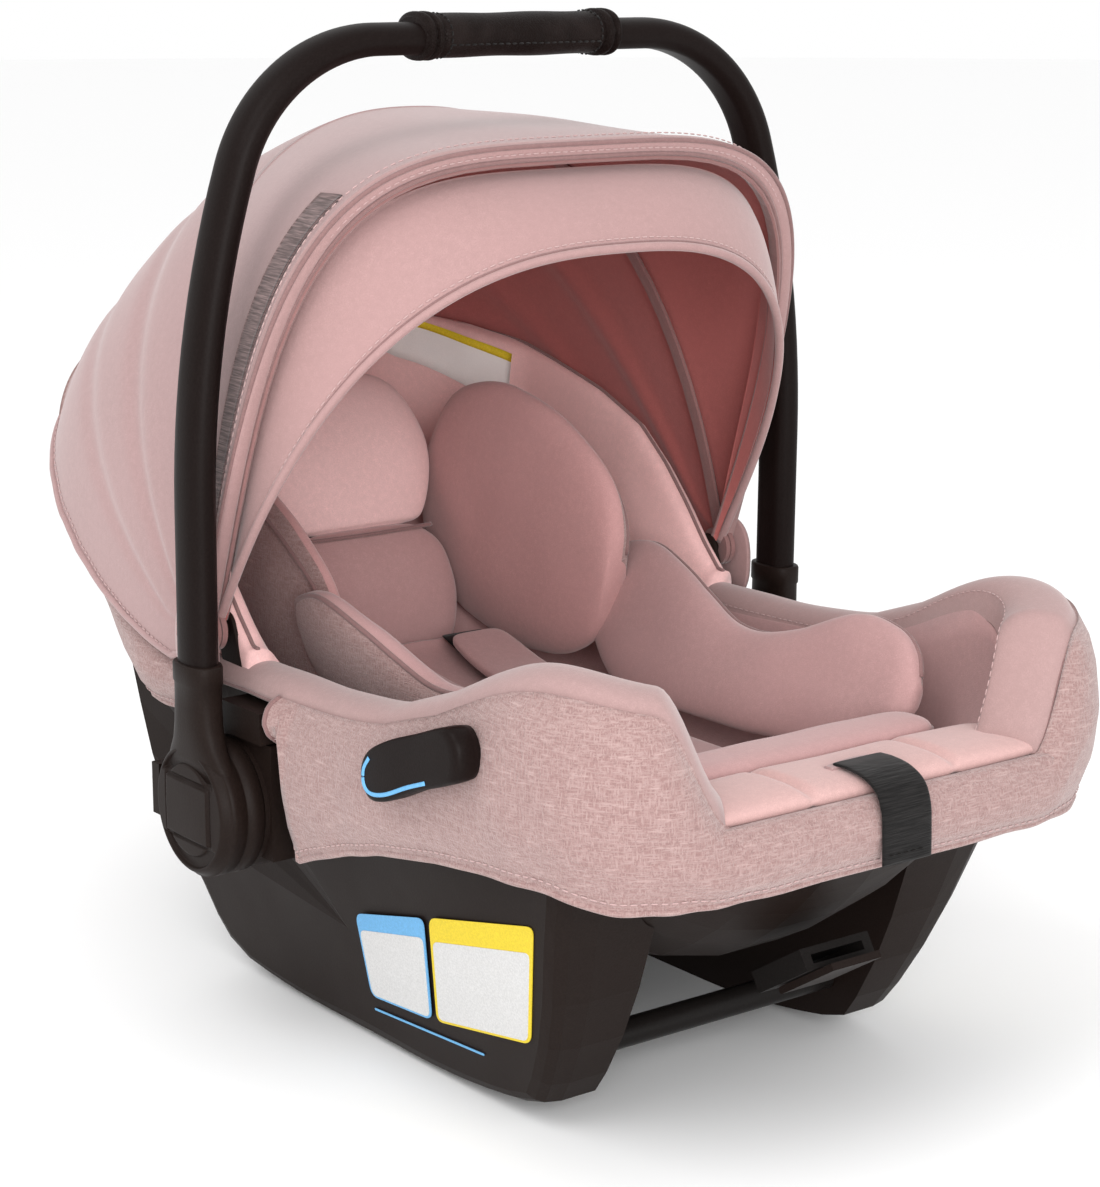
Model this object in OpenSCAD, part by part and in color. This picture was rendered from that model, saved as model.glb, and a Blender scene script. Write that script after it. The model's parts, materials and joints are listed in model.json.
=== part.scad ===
// Infant car seat: a bucket on two rocker rails with a turning carry handle, a folding
// canopy, a padded cover, an infant insert and a harness. Millimetres.
// +Z is up, the foot end is -Y, the head end is +Y, the child's right is -X.
// The origin is on the floor, under the middle of the whole seat.

/* [Seat] */
// Half of the width of the cover at the rim
half_w = 190; // [180:1:192]
// Reach of the cover's front end, from the origin
front_reach = 324; // [315:1:330]
// Reach of the cover's head end, from the origin
head_reach = 331; // [325:1:340]
// Height of the rim beside the hips
rim_low_z = 222; // [215:1:228]
// Rise of the rim beside the knees
rim_knee_rise = 51; // [40:1:60]
// Rise of the rim at the head end
rim_head_rise = 163; // [140:1:170]
// Height of the front lip
lip_z = 205; // [198:1:210]

/* [Shell] */
// Lowest point of the bucket
keel_z = 62; // [58:1:70]
// Wall of the plastic mouldings
wall = 4; // [3:0.5:5]
// Half of the width over the rails at the floor
rail_half_w = 124; // [118:1:128]
// Half of the gap between the rails
rail_gap = 90; // [84:1:94]
// Radius of the rockers
rocker_r = 570; // [500:10:700]
// Radius of the latch bars
bar_r = 8; // [6:0.5:9]

/* [Handle] */
// Height of the handle pivot
hub_z = 146.5; // [144:0.5:150]
// Distance of the handle pivot behind the origin
hub_y = 15; // [10:1:18]
// Radius of the hub discs
hub_r = 39; // [36:1:40]
// Half of the width over the hubs
hub_half_w = 220; // [218:1:222]
// Radius of the pivot pins
pin_r = 9; // [8:0.5:10]
// Distance from the pivot to the middle of the handle's top
handle_r = 418; // [414:1:422]
// Forward lean of the handle
handle_lean = 1; // [0:0.1:2]
// Size of the handle's oval tube across the seat
tube_x = 18; // [16:1:18]
// Size of the handle's oval tube along the seat
tube_y = 28; // [24:1:30]

/* [Canopy] */
// Height of the canopy pivot
canopy_z = 240; // [236:1:244]
// Distance of the canopy pivot behind the origin
canopy_y = 40; // [36:1:44]
// Radius of the canopy at its top
canopy_r = 286; // [280:1:288]
// Half of the width of the canopy
canopy_half_w = 193; // [188:1:194]
// Forward lean of the front bow
front_bow_lean = 20; // [17:0.5:21]
// Forward lean of the rear bow, so a negative value leans back
rear_bow_lean = -14; // [-18:0.5:-12]
// Forward lean of the visor's edge
visor_lean = 32.5; // [30:0.5:34]

/* [Hidden] */
$fn = 64;

plastic = [0.13, 0.12, 0.12];
steel = [0.35, 0.35, 0.37];
smooth_pink = [0.80, 0.65, 0.64];
heather_pink = [0.86, 0.69, 0.67];
webbing = [0.06, 0.06, 0.06];

// Clearance between neighbours of one body
gap = 0.6;
// The outline's two ends are halves of superellipses, with straight sides between them
front_y = -127;
rear_y = 120;
front_n = 5;
rear_n = 3.3;
// The bucket lies this far inside the outline, and this far below the rim
bucket_in = 16;
bucket_down = 18;
// The bucket is deepest here
keel_y = -60;
// Offsets and lowest points of the layers inside the bucket
foam_in = bucket_in + wall + gap;
foam_low = keel_z + wall + gap;
cover_in = foam_in + 15;
cover_low = 112;
inner_in = cover_in + 9;
inner_low = 122;

// ---- Small functions ----

function smooth(v) = let (c = min(1, max(0, v))) c * c * (3 - 2 * c);
function mix(a, b, f) = a + (b - a) * f;
function unit(v) = v / norm(v);
function reversed(list) = [for (i = [len(list) - 1 : -1 : 0]) list[i]];

// A point of a quarter superellipse with half-axes a and b, at angle t
function corner(t, a, b, n) = [a * pow(cos(t), 2 / n), b * pow(sin(t), 2 / n)];

// Height of the rim at a point of the outline
function rim_side(y) = rim_low_z
    + rim_knee_rise * exp(-pow((y + 270) / 103, 2))
    + rim_head_rise * pow(max(0, (y - 40) / (head_reach - 40)), 1.9);
function rim_z(x, y) = y > -200 ? rim_side(y)
    : mix(lip_z, rim_side(y), smooth((abs(x) - 108) / 42));

// The right half of the plan outline from foot to head, moved outward by o
function half_outline(o, t_first = 90, t_last = 90) = [
    for (i = [0 : 9]) let (t = t_first * (1 - i / 10),
        p = corner(t, half_w + o, front_reach + front_y + o, front_n)) [p[0], front_y - p[1]],
    for (i = [0 : 3]) [half_w + o, mix(front_y, rear_y, i / 4)],
    for (i = [0 : 12]) let (p = corner(t_last * i / 12, half_w + o, head_reach - rear_y + o,
        rear_n)) [p[0], rear_y + p[1]]];

// The whole outline as a closed loop, from the middle of the front
function outline(o) = let (h = half_outline(o))
    concat(h, [for (i = [len(h) - 2 : -1 : 1]) [-h[i][0], h[i][1]]]);

// Height of the bowl's middle line, for a layer this far inside the outline
function keel(y, inset, low) = let (front_end = -front_reach + inset,
    rear_end = head_reach - inset, lip = lip_z - bucket_down - 12 + (inset - bucket_in) / 3,
    head = rim_low_z + rim_head_rise - bucket_down - 6 + (inset - bucket_in) / 3)
    y < keel_y ? mix(low, lip, pow((keel_y - y) / (keel_y - front_end), 3.4))
    : mix(low, head, pow((y - keel_y) / (rear_end - keel_y), 4.1));

// The middle of a ring, and its area as a vector
function sum_of(list, i = 0) = i == len(list) - 1 ? list[i] : list[i] + sum_of(list, i + 1);
function middle(ring) = sum_of(ring) / len(ring);
function area_of(ring) = let (c = middle(ring), n = len(ring))
    sum_of([for (i = [0 : n - 1]) cross(ring[i] - c, ring[(i + 1) % n] - c)]);

// The same rings, turned so that the faces made from them look outward
function facing_out(rings) =
    area_of(rings[1]) * (middle(rings[1]) - middle(rings[0])) < 0 ? rings
    : [for (r = rings) reversed(r)];

// Faces of the wall between ring j and ring l, each of n points
function wall_faces(j, l, n) = [for (i = [0 : n - 1], h = [0, 1]) let (k = (i + 1) % n)
    h == 0 ? [j * n + i, j * n + k, l * n + k] : [j * n + i, l * n + k, l * n + i]];

// A closed solid between rings of equally many points, with a fan on each end
module skin(rings) {
    ring = facing_out(rings);
    n = len(ring[0]);
    m = len(ring);
    polyhedron(concat([for (r = ring) each r], [middle(ring[0]), middle(ring[m - 1])]), concat(
        [for (j = [0 : m - 2]) each wall_faces(j, j + 1, n)],
        [for (i = [0 : n - 1]) [(i + 1) % n, i, m * n]],
        [for (i = [0 : n - 1]) [(m - 1) * n + i, (m - 1) * n + (i + 1) % n, m * n + 1]]));
}

// The same for flat, hollow or bent rings: each end is a strip that joins point i to its
// opposite, counted from the ring's two ends
module strip_skin(rings) {
    ring = facing_out(rings);
    n = len(ring[0]);
    last = (len(ring) - 1) * n;
    polyhedron([for (r = ring) each r], concat(
        [for (j = [0 : len(ring) - 2]) each wall_faces(j, j + 1, n)],
        [for (i = [0 : n / 2 - 2]) each [[n - 2 - i, i + 1, i], [n - 1 - i, n - 2 - i, i]]],
        [for (i = [0 : n / 2 - 2]) each [[last + i, last + i + 1, last + n - 2 - i],
            [last + i, last + n - 2 - i, last + n - 1 - i]]]));
}

// A closed ring-shaped solid: the rings follow a loop, and the last joins the first
module loop_skin(rings) {
    ring = facing_out(rings);
    m = len(ring);
    polyhedron([for (r = ring) each r],
        [for (j = [0 : m - 1]) each wall_faces(j, (j + 1) % m, len(ring[0]))]);
}

// An oval ring about c with half-axes a along u and b along v, squarer as n grows
function oval(c, u, v, a, b, n = 2, count = 20) = [for (i = [0 : count - 1])
    let (t = 360 * i / count, p = sign(cos(t)) * pow(abs(cos(t)), 2 / n),
        q = sign(sin(t)) * pow(abs(sin(t)), 2 / n)) c + u * a * p + v * b * q];

// A tube along a path in any direction: v is the side direction of its section
function tube_rings(path, side, a, b, n = 2, count = 20) = [for (i = [0 : len(path) - 1])
    let (d = unit(path[min(i + 1, len(path) - 1)] - path[max(i - 1, 0)]),
        u = unit(cross(side, d))) oval(path[i], u, side, b, a, n, count)];

// A cushion: rings of oval sections along a straight or bent line, closing at both ends.
// stations = [[centre, half thickness, half height], ...], lean = tilt of the section
module cushion(stations, u, v, n = 2.4, count = 20) {
    skin([for (s = stations) oval(s[0], u, v, s[1], s[2], n, count)]);
}

// Sub-parts are made on the child's left, at +X. This gives the one on the other side.
module other_side() {
    mirror([1, 0, 0]) children();
}

// ---- Shell ----

// The solid inside one layer of the bowl: half ovals across the seat, squarer as n grows,
// with a short upright collar above the edge. Toward the head they turn more pointed.
head_n = 0.75;
module bowl(inset, low, collar, side_n, steps = 13) {
    half = half_outline(-inset, 76, 80);
    strip_skin([for (p = half) let (z = rim_z(p[0], p[1]) - bucket_down,
        n = side_n * mix(1, head_n, smooth((p[1] - 100) / 80)),
        deep = max(4, z - keel(p[1], inset, low)))
        concat([[p[0], p[1], z + collar]],
            [for (i = [0 : steps]) let (t = 180 * i / steps)
                [p[0] * sign(cos(t)) * pow(abs(cos(t)), 2 / n), p[1],
                    z - deep * pow(sin(t), 2 / n)]],
            [[-p[0], p[1], z + collar]])]);
}

module layer(inset, low, n, next_inset, next_low, next_n) {
    difference() {
        bowl(inset, low, 0.2, n);
        bowl(next_inset, next_low, 3, next_n);
        translate([0, -200, 0]) above_lip();
        strap_slot();
    }
}

// The crotch strap comes up through every layer here
strap_y = -115;
module strap_slot() {
    translate([-20, strap_y - 2.5, keel_z - 10]) cube([40, 5, 130]);
}

// What stands above the front lip, between the raised corners
module above_lip() {
    edge = [for (x = [-156 : 6 : 156]) [x, rim_z(x, -300) - bucket_down]];
    rotate([90, 0, 0]) linear_extrude(200) polygon(concat([[-156, 500]], edge, [[156, 500]]));
}

// The whole column under the rim, inside the outline moved outward by o
module column(o, lift) {
    half = half_outline(o, 88, 88);
    ring = concat(half, [for (p = reversed(half)) [-p[0], p[1]]]);
    strip_skin([[for (p = ring) [p[0], p[1], -60]],
        [for (p = ring) [p[0], p[1], lift
            + rim_z(p[0], min(head_reach, p[1] + 40 * smooth((p[1] - 120) / 100)))]]]);
}

module bucket_layer() {
    layer(bucket_in, keel_z, 2, bucket_in + wall, keel_z + wall, 2);
}
module foam_layer() {
    layer(foam_in, foam_low, 2, cover_in - gap, cover_low - gap, 2.6);
}

// At their steep ends the layers would touch, so each is cut back from the one around it,
// moved inward by this much and up by half a gap
trim_y = 0.4;
module bucket() {
    color(plastic) bucket_layer();
}

module foam_liner() {
    color("white") difference() {
        foam_layer();
        for (s = [-1, 1]) translate([0, s * trim_y, gap / 2]) bucket_layer();
    }
}

module seat_cover() {
    color(smooth_pink) difference() {
        layer(cover_in, cover_low, 2.6, inner_in, inner_low, 3);
        translate([0, 0, gap / 2]) foam_layer();
    }
}

// Side view of a rail and the wall above it, anticlockwise from the rear of the rocker
function rocker(y) = pow(max(0, abs(y + 20) - 40), 2) / (2 * rocker_r);
function panel_outline() = concat(
    [[152, 48], [144, 30], [134, 17]],
    [for (y = [115 : -19 : -170]) [y, rocker(y)]],
    [[-188, 16], [-198, 30], [-212, 55], [-225, 85], [-237, 120], [-250, 155], [-260, 190],
     [-200, 205], [-100, 205], [0, 205], [100, 205], [180, 200], [228, 182], [216, 158],
     [197, 128], [174, 90]]);

// Outer side of the wall: it leans out, and stays inside the cover at the head end
wall_lean = 0.24;
function wall_x(y, z) = min(rail_half_w + wall_lean * z,
    half_at(y) - 10 - 34 * smooth((y - 90) / 110));
function half_at(y) = y <= rear_y ? half_w
    : half_w * pow(max(0, 1 - pow((y - rear_y) / (head_reach - rear_y), rear_n)), 1 / rear_n);

// A rail's solid, with its outer edge rounded. thin moves every side inward.
module rail_solid(thin) {
    centre = [-20, 110];
    shape = panel_outline();
    skin([for (s = [[0, 0], [0.6, 0], [0.85, 2], [0.96, 5.5], [1, 11]])
        [for (p = shape) let (q = p + unit(centre - p) * (s[1] + thin),
            x = wall_x(q[0], q[1]) - thin) [mix(rail_gap + thin, x, s[0]), q[0], q[1]]]]);
}

module side_panel() {
    difference() {
        rail_solid(0);
        rail_solid(wall);
        bowl(bucket_in - gap, keel_z - gap, 30, 2);
        translate([0, -400, 178]) cube([300, 800, 60]);
    }
}
module side_panel_left() { color(plastic) side_panel(); }
module side_panel_right() { color(plastic) other_side() side_panel(); }

module latch_bar(y, z) {
    translate([-rail_gap + gap, y, z]) rotate([0, 90, 0])
        cylinder(r = bar_r, h = 2 * (rail_gap - gap));
}
module front_bar() { color(steel) latch_bar(-172, 36); }
module rear_bar() { color(steel) latch_bar(112, 36); }

// ---- Hubs ----

mount_out = hub_half_w - 28.5;
hub_in = hub_half_w - 28;

// Everything outside the leaning wall of the shell
module outside_wall() {
    translate([151, -200, 110]) rotate([0, atan(0.31), 0]) translate([0, 0, -60])
        cube([150, 400, 400]);
}

module hub_mount() {
    difference() {
        intersection() {
            outside_wall();
            union() {
                translate([120, hub_y, hub_z]) rotate([0, 90, 0])
                    cylinder(r = hub_r - 1, h = mount_out - 120);
                translate([120, hub_y - 40, hub_z - 26]) cube([mount_out - 123, 80, 66]);
            }
        }
        translate([150, hub_y, hub_z]) rotate([0, 90, 0]) cylinder(r = pin_r, h = 60);
        for (s = [-1, 1]) translate([mount_out - 8, hub_y + 26 * s, hub_z])
            rotate([0, 90, 0]) cylinder(r = 2.5, h = 20);
    }
}
module hub_mount_left() { color(plastic) hub_mount(); }
module hub_mount_right() { color(plastic) other_side() hub_mount(); }

// Pivot pin: it is pressed into the mount and turns freely in the hub
module hub_pin() {
    translate([mount_out - 22, hub_y, hub_z]) rotate([0, 90, 0]) cylinder(r = pin_r, h = 44);
}
module hub_pin_left() { color(steel) hub_pin(); }
module hub_pin_right() { color(steel) other_side() hub_pin(); }

module mount_screws() {
    color(steel) for (side = [0, 1], s = [-1, 1]) mirror([side, 0, 0])
        translate([mount_out - 8, hub_y + 26 * s, hub_z]) rotate([0, 90, 0])
        cylinder(r = 2.5, h = 7.5);
}

// Toothed disc that the handle's buttons lock onto, fixed on the pin
module lock_gear() {
    translate([hub_in + 5, hub_y, hub_z]) rotate([0, 90, 0]) linear_extrude(7)
        difference() {
            union() {
                circle(r = 19);
                for (i = [0 : 11]) rotate(30 * i + 15) translate([17, -2.5]) square([5, 5]);
            }
            circle(r = pin_r);
        }
}
module lock_gear_left() { color(steel) lock_gear(); }
module lock_gear_right() { color(steel) other_side() lock_gear(); }

// Hub of the handle: a disc with a bore for the pin, a room for the lock gear, a neck
// with a socket for the tube, and a slot for the button at the back
module hub_housing() {
    difference() {
        union() {
            translate([hub_in, hub_y, hub_z]) rotate([0, 90, 0])
                rotate_extrude() polygon([[0, 0], [hub_r, 0], [hub_r, 22], [hub_r - 5, 27.5],
                    [hub_r - 6, 27.5], [0, 27.5]]);
            translate([0, hub_y, hub_z]) rotate([handle_lean, 0, 0]) intersection() {
                translate([handle_x - 10, -16.5, 0]) cube([20.1, 33, 84]);
                rotate([-8, 0, 0]) translate([0, -60, 0]) cube([300, 120, 79]);
            }
        }
        translate([hub_in - 1, hub_y, hub_z]) rotate([0, 90, 0])
            cylinder(r = pin_r + 0.05, h = 24);
        translate([hub_in - 1, hub_y, hub_z]) rotate([0, 90, 0]) cylinder(r = 24, h = 15);
        translate([hub_in + 5, hub_y + 20, hub_z - 8.5]) cube([14, 30, 17]);
        translate([hub_in + 24.4, hub_y - 21.5, hub_z - 14.5]) cube([8, 43, 29]);
        translate([handle_x, hub_y, hub_z]) rotate([handle_lean, 0, 0]) translate([0, 0, 55])
            linear_extrude(60) scale([(tube_x + 1.8) / 2, (tube_y + 2.4) / 2])
            circle(r = 1, $fn = 32);
    }
}
module hub_housing_left() { color(plastic) hub_housing(); }
module hub_housing_right() { color(plastic) other_side() hub_housing(); }

// Plain plate in the middle of the hub
module hub_plate() {
    translate([hub_in + 24.8, hub_y - 21, hub_z - 14]) cube([3.2, 42, 28]);
}
module hub_plate_left() { color(plastic) hub_plate(); }
module hub_plate_right() { color(plastic) other_side() hub_plate(); }

// Handle release button: it slides forward into the hub
module hub_button() {
    difference() {
        translate([hub_in + 5.5, hub_y + 29, hub_z - 8]) cube([13, 15, 16]);
        translate([hub_in + 12, hub_y + 28, hub_z]) rotate([-90, 0, 0])
            cylinder(r = 4.5, h = 13.5);
    }
    translate([hub_in + 3, hub_y + 43.5, hub_z - 15]) cube([17, 8, 30]);
}
module hub_button_left() { color(plastic) hub_button(); }
module hub_button_right() { color(plastic) other_side() hub_button(); }

module button_springs() {
    color(steel) for (side = [0, 1]) mirror([side, 0, 0])
        translate([hub_in + 12, hub_y + 24.2, hub_z]) rotate([-90, 0, 0]) difference() {
            cylinder(r = 4, h = 12.5);
            translate([0, 0, -1]) cylinder(r = 2.8, h = 15);
        }
}

// ---- Handle ----

// Half of the handle's middle line, [x, r], from the hub to the middle of the top:
// a straight leg, a long shallow arc and a tight arc into the flat top
leg_top = 170;
bend_1 = [600, 17.75];
bend_2 = [(handle_r - leg_top - bend_1[0] * sin(bend_1[1])) / (1 - sin(bend_1[1])),
    90 - bend_1[1]];
handle_x = 210.5;
function handle_half() = let (
    p1 = [for (i = [1 : 6]) let (h = bend_1[1] * i / 6)
        [handle_x - bend_1[0] * (1 - cos(h)), leg_top + bend_1[0] * sin(h)]],
    e = p1[5],
    p2 = [for (i = [1 : 12]) let (h = bend_1[1] + bend_2[1] * i / 12)
        [e[0] - bend_2[0] * (cos(bend_1[1]) - cos(h)),
         e[1] + bend_2[0] * (sin(h) - sin(bend_1[1]))]])
    concat([[handle_x, 58], [handle_x, 78], [handle_x, 120], [handle_x, leg_top]], p1, p2,
        [[20, p2[11][1]]]);
function on_handle(p) = [p[0], hub_y - p[1] * sin(handle_lean),
    hub_z + p[1] * cos(handle_lean)];
across = [0, cos(handle_lean), sin(handle_lean)];

module handle_tube() {
    half = handle_half();
    path = concat([for (p = half) on_handle(p)],
        [for (p = reversed(half)) on_handle([-p[0], p[1]])]);
    color(plastic) skin(tube_rings(path, across, tube_y / 2, tube_x / 2, 2.2, 18));
}

top_r = handle_half()[len(handle_half()) - 1][1];
// A padded sleeve around the top of the handle, thicker above the tube than below it
module sleeve(x0, x1, thick) {
    function line(x, lift) = on_handle([x, top_r + lift]);
    difference() {
        skin(tube_rings([for (x = [x0, (x0 + x1) / 2, x1]) line(x, 1.2)], across,
            tube_y / 2 + thick, tube_x / 2 + thick, 2.3, 28));
        skin(tube_rings([for (x = [x0 - 5, (x0 + x1) / 2, x1 + 5]) line(x, 0)], across,
            (tube_y + gap) / 2, (tube_x + gap) / 2, 2.2, 28));
    }
}
module grip() {
    color(webbing) sleeve(-56, 56, 3.2);
}
module grip_rings() {
    color(webbing) for (s = [-1, 1]) sleeve(s * 62 - 5.5, s * 62 + 5.5, 4.6);
}

// ---- Canopy ----

// Half of an arch about the canopy pivot: x across the seat and r from the pivot line
function arch(a, r, n, count, low = 0) = [for (i = [0 : count])
    let (t = mix(low, 180 - low, i / count))
    [a * sign(cos(t)) * pow(abs(cos(t)), 2 / n), r * pow(sin(t), 2 / n)]];
function on_canopy(p, lean) = [p[0], canopy_y - p[1] * sin(lean),
    canopy_z + p[1] * cos(lean)];

// A thin curved sheet: every row is an arch at its own lean
module sheet(rows, thick) {
    n = len(rows[0]);
    m = len(rows);
    inner = [for (row = rows) [for (i = [0 : n - 1]) let (p = row[i],
        c = [p[0] * 0.2, canopy_y, canopy_z]) p + unit(c - p) * thick]];
    strip_skin([for (j = [0 : m - 1]) concat(rows[j], reversed(inner[j]))]);
}

module above_rim() {
    difference() {
        children();
        column(14, 3);
    }
}

// The arch is roundest at the rear bow, and squarer at the front bow and toward the head
front_n_bow = 4;
rear_n_bow = 2.3;
head_n_bow = 4.6;
rear_r = canopy_r + 4;
// The fabric between the two bows sags by this much
sag = 12;
module canopy_rear_panel() {
    color(smooth_pink) above_rim() sheet([for (a = [rear_bow_lean - 1.2 : -8 : -118])
        [for (p = arch(canopy_half_w, rear_r,
                mix(rear_n_bow, head_n_bow, smooth((rear_bow_lean - a) / 95)), 28, 6))
            on_canopy(p, a)]], 3);
}
module canopy_front_panel() {
    color(smooth_pink) above_rim() sheet([for (i = [0 : 6]) let (f = i / 6)
        [for (p = arch(canopy_half_w, mix(rear_r, canopy_r, f) - sag * sin(180 * f),
                mix(rear_n_bow, front_n_bow, f), 28, 6))
            on_canopy(p, mix(rear_bow_lean + 1.2, front_bow_lean - 1.2, f))]], 3);
}

// A bow: a flat strip bent to an arch, with an eye on the pivot at each end
bow_w = 9;
bow_t = 3;
module bow(lean, eye_x, r, n) {
    path = [for (p = concat([[eye_x, 3]], arch(eye_x, r, n, 34, 3), [[-eye_x, 3]]))
        on_canopy(p, lean)];
    difference() {
        union() {
            skin(tube_rings(path, [0, cos(lean), sin(lean)], bow_w / 2, bow_t / 2, 4, 8));
            for (s = [-1, 1]) translate([s * eye_x - 1.6, canopy_y, canopy_z])
                rotate([0, 90, 0]) cylinder(r = 12, h = 3.2);
        }
        for (s = [-1, 1]) translate([s * eye_x - 5, canopy_y, canopy_z]) rotate([0, 90, 0])
            cylinder(r = pivot_r + 0.05, h = 10);
    }
}
pivot_r = 4;
module rear_bow() {
    color(plastic) bow(rear_bow_lean, canopy_half_w - 5, rear_r - 6, rear_n_bow);
}
module front_bow() {
    color(plastic) bow(front_bow_lean, canopy_half_w - 9, canopy_r - 10, front_n_bow);
}
visor_x = canopy_half_w - 13;
visor_r = 253;
module visor_bow() {
    color(plastic) bow(visor_lean - 0.5, visor_x - 1, visor_r - 6, 2.6);
}

// Visor: it runs out from under the front bow to a lower and rounder edge. It starts at
// this angle up the arch, where it has room to fold in behind the bow.
visor_low = 9;
module visor() {
    color(smooth_pink) above_rim() sheet([for (f = [0 : 0.25 : 1]) [for (i = [0 : 28])
        let (p = arch(visor_x - 1, canopy_r - 17.5, front_n_bow, 28, visor_low)[i],
            q = arch(visor_x + 4, visor_r, 2.6, 28, visor_low)[i])
        on_canopy(mix(p, q, f), mix(front_bow_lean - 1, visor_lean, f))]], 3);
}

// Bracket on the shell with the canopy's pivot pin and the lug beside the skirt
module canopy_bracket() {
    translate([175, canopy_y, canopy_z]) rotate([0, 90, 0]) cylinder(r = pivot_r, h = 16);
    hull() {
        translate([175, canopy_y, canopy_z]) rotate([0, 90, 0])
            cylinder(r = 9, h = 2.2, $fn = 32);
        translate([175, hub_y, hub_z + 41]) cube([2.2, 20, 10]);
    }
    translate([175, hub_y - 38, hub_z + 41]) cube([19, 42, 18]);
}
module canopy_bracket_left() { color(plastic) canopy_bracket(); }
module canopy_bracket_right() { color(plastic) other_side() canopy_bracket(); }

// ---- Cover ----

// Height of the skirt's hem: it dips at the front corners and rises at the head end
function hem_z(x, y) = y < -300 ? mix(160, 159, smooth((abs(x) - 60) / 80))
    : y < -40 ? 165 - 42 * pow(max(0, (y + 264) / 224), 2.2) - 6 * smooth((-264 - y) / 36)
    : y < 222 ? mix(186, 180, (y - 50) / 172)
    : mix(180, 285, smooth((178 - abs(x)) / 130));
// At the head end the skirt follows the shell inward, by this much at its hem
tuck = 50;
function tucked(x, y) = smooth((y - 100) / 130) * mix(0.16, 1, smooth((abs(x) - 45) / 95));

// Leaves the space of the handle hubs and of the canopy brackets free
module clear_of_hubs() {
    difference() {
        children();
        for (side = [0, 1]) mirror([side, 0, 0]) {
            translate([150, 0, 0]) rotate([90, 0, 90]) linear_extrude(60)
                polygon([[-34, 100], [-27, 206], [-29, 211], [20, 211], [62, 205], [62, 100]]);
            translate([172, hub_y - 6, hub_z + 30]) cube([9, 46, 80]);
        }
    }
}

skirt_fall = [0, 0.25, 0.5, 0.75, 1];
skirt_bulge = [-7, 1, 3, 0, -8];
module skirt() {
    base = outline(0);
    loops = [for (d = [0, 3.5], b = skirt_bulge) outline(b - d)];
    deep = [for (d = [0, 3.5], b = skirt_bulge) outline(b - d - tuck)];
    color(heather_pink) clear_of_hubs() loop_skin([for (i = [0 : len(base) - 1])
        let (p = base[i], top = rim_z(p[0], p[1]) - 8, hem = hem_z(p[0], p[1]))
        [for (k = [0, 1, 2, 3, 4, 9, 8, 7, 6, 5]) let (f = skirt_fall[k % 5],
            q = mix(loops[k][i], deep[k][i], tucked(p[0], p[1]) * f))
            [q[0], q[1], mix(top, hem, f)]]]);
}

// Padded edge around the seat: a section that runs along the outline past the corners
band_section = [[-11.3, -9], [-12.4, -4], [-18, -1], [-27, 0], [-35, -3], [-40, -9],
    [-38, -13], [-14.8, -13.4]];
module rim_band() {
    loops = [for (s = band_section) outline(s[0])];
    base = outline(0);
    n = len(base);
    first = 4;
    color(smooth_pink) clear_of_hubs() skin([for (i = [first : n - first])
        [for (k = [0 : len(loops) - 1]) [loops[k][i][0], loops[k][i][1],
            rim_z(base[i][0], base[i][1]) + band_section[k][1]]]]);
}

// Padded front lip in three sewn channels
lip_cuts = [-112, -49.6, -48.4, 48.4, 49.6, 112];
module front_lip() {
    color(smooth_pink) for (i = [0, 2, 4])
        skin([for (f = [0, 0.06, 0.2, 0.5, 0.8, 0.94, 1])
            let (x = mix(lip_cuts[i], lip_cuts[i + 1], f), puff = 1 - 0.35 * pow(2 * f - 1, 4))
            oval([x, -front_reach + 39, lip_z - 6], [0, 1, 0], [0, 0, 1], 25, 6 * puff,
                3, 16)]);
}

// ---- Insert ----

module insert_pad() {
    line = [[-205, 177], [-190, 166], [-150, 155], [-60, 153], [20, 154], [70, 160],
        [110, 171], [122, 178]];
    wide = [40, 62, 72, 76, 76, 72, 60, 45];
    color(smooth_pink) difference() {
        skin([for (i = [0 : len(line) - 1])
            oval([0, line[i][0], line[i][1]], [1, 0, 0], [0, 0, 1], wide[i], 10, 3, 24)]);
        strap_slot();
    }
}

// Side bolster: a torso lobe and a thigh lobe with a waist between them.
// [y, z, half height, half thickness] of each station
bolster = [[62, 222, 12, 5], [52, 218, 38, 10], [25, 211, 46, 12], [-15, 203, 42, 13],
    [-70, 192, 31, 13], [-120, 196, 33, 13], [-165, 206, 41, 12], [-195, 209, 37, 10],
    [-215, 209, 26, 9], [-224, 209, 10, 5]];
bolster_lean = 19;
module insert_bolster() {
    cushion([for (s = bolster) [[102 + (s[1] - 200) * 0.3, s[0], s[1]], s[3], s[2]]],
        [cos(bolster_lean), 0, -sin(bolster_lean)], [sin(bolster_lean), 0, cos(bolster_lean)]);
}
module insert_bolster_left() { color(smooth_pink) insert_bolster(); }
module insert_bolster_right() { color(smooth_pink) other_side() insert_bolster(); }

module leg_roll() {
    color(smooth_pink) for (h = [0, 1]) skin([for (x = [-94, -88, -60, 0, 60, 88, 94])
        let (k = abs(x) > 90 ? 0.4 : abs(x) > 80 ? 0.85 : 1)
        oval([x, -242 + 3 * h, 184 + 16 * h], [0, 1, 0], [0, 0, 1], 18 * k, 7.5 * k, 2.6, 16)]);
}

// Middle of the head pillow: it stands against the back
module head_pillow() {
    color(smooth_pink) skin([for (s = [[150, 192, 10], [156, 198, 26], [176, 222, 40],
        [196, 260, 45], [212, 300, 44], [222, 330, 36], [226, 344, 12]])
        oval([0, s[0], s[1]], [1, 0, 0], [0, cos(25), -sin(25)], 18 + s[2], 14, 3, 24)]);
}

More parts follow.
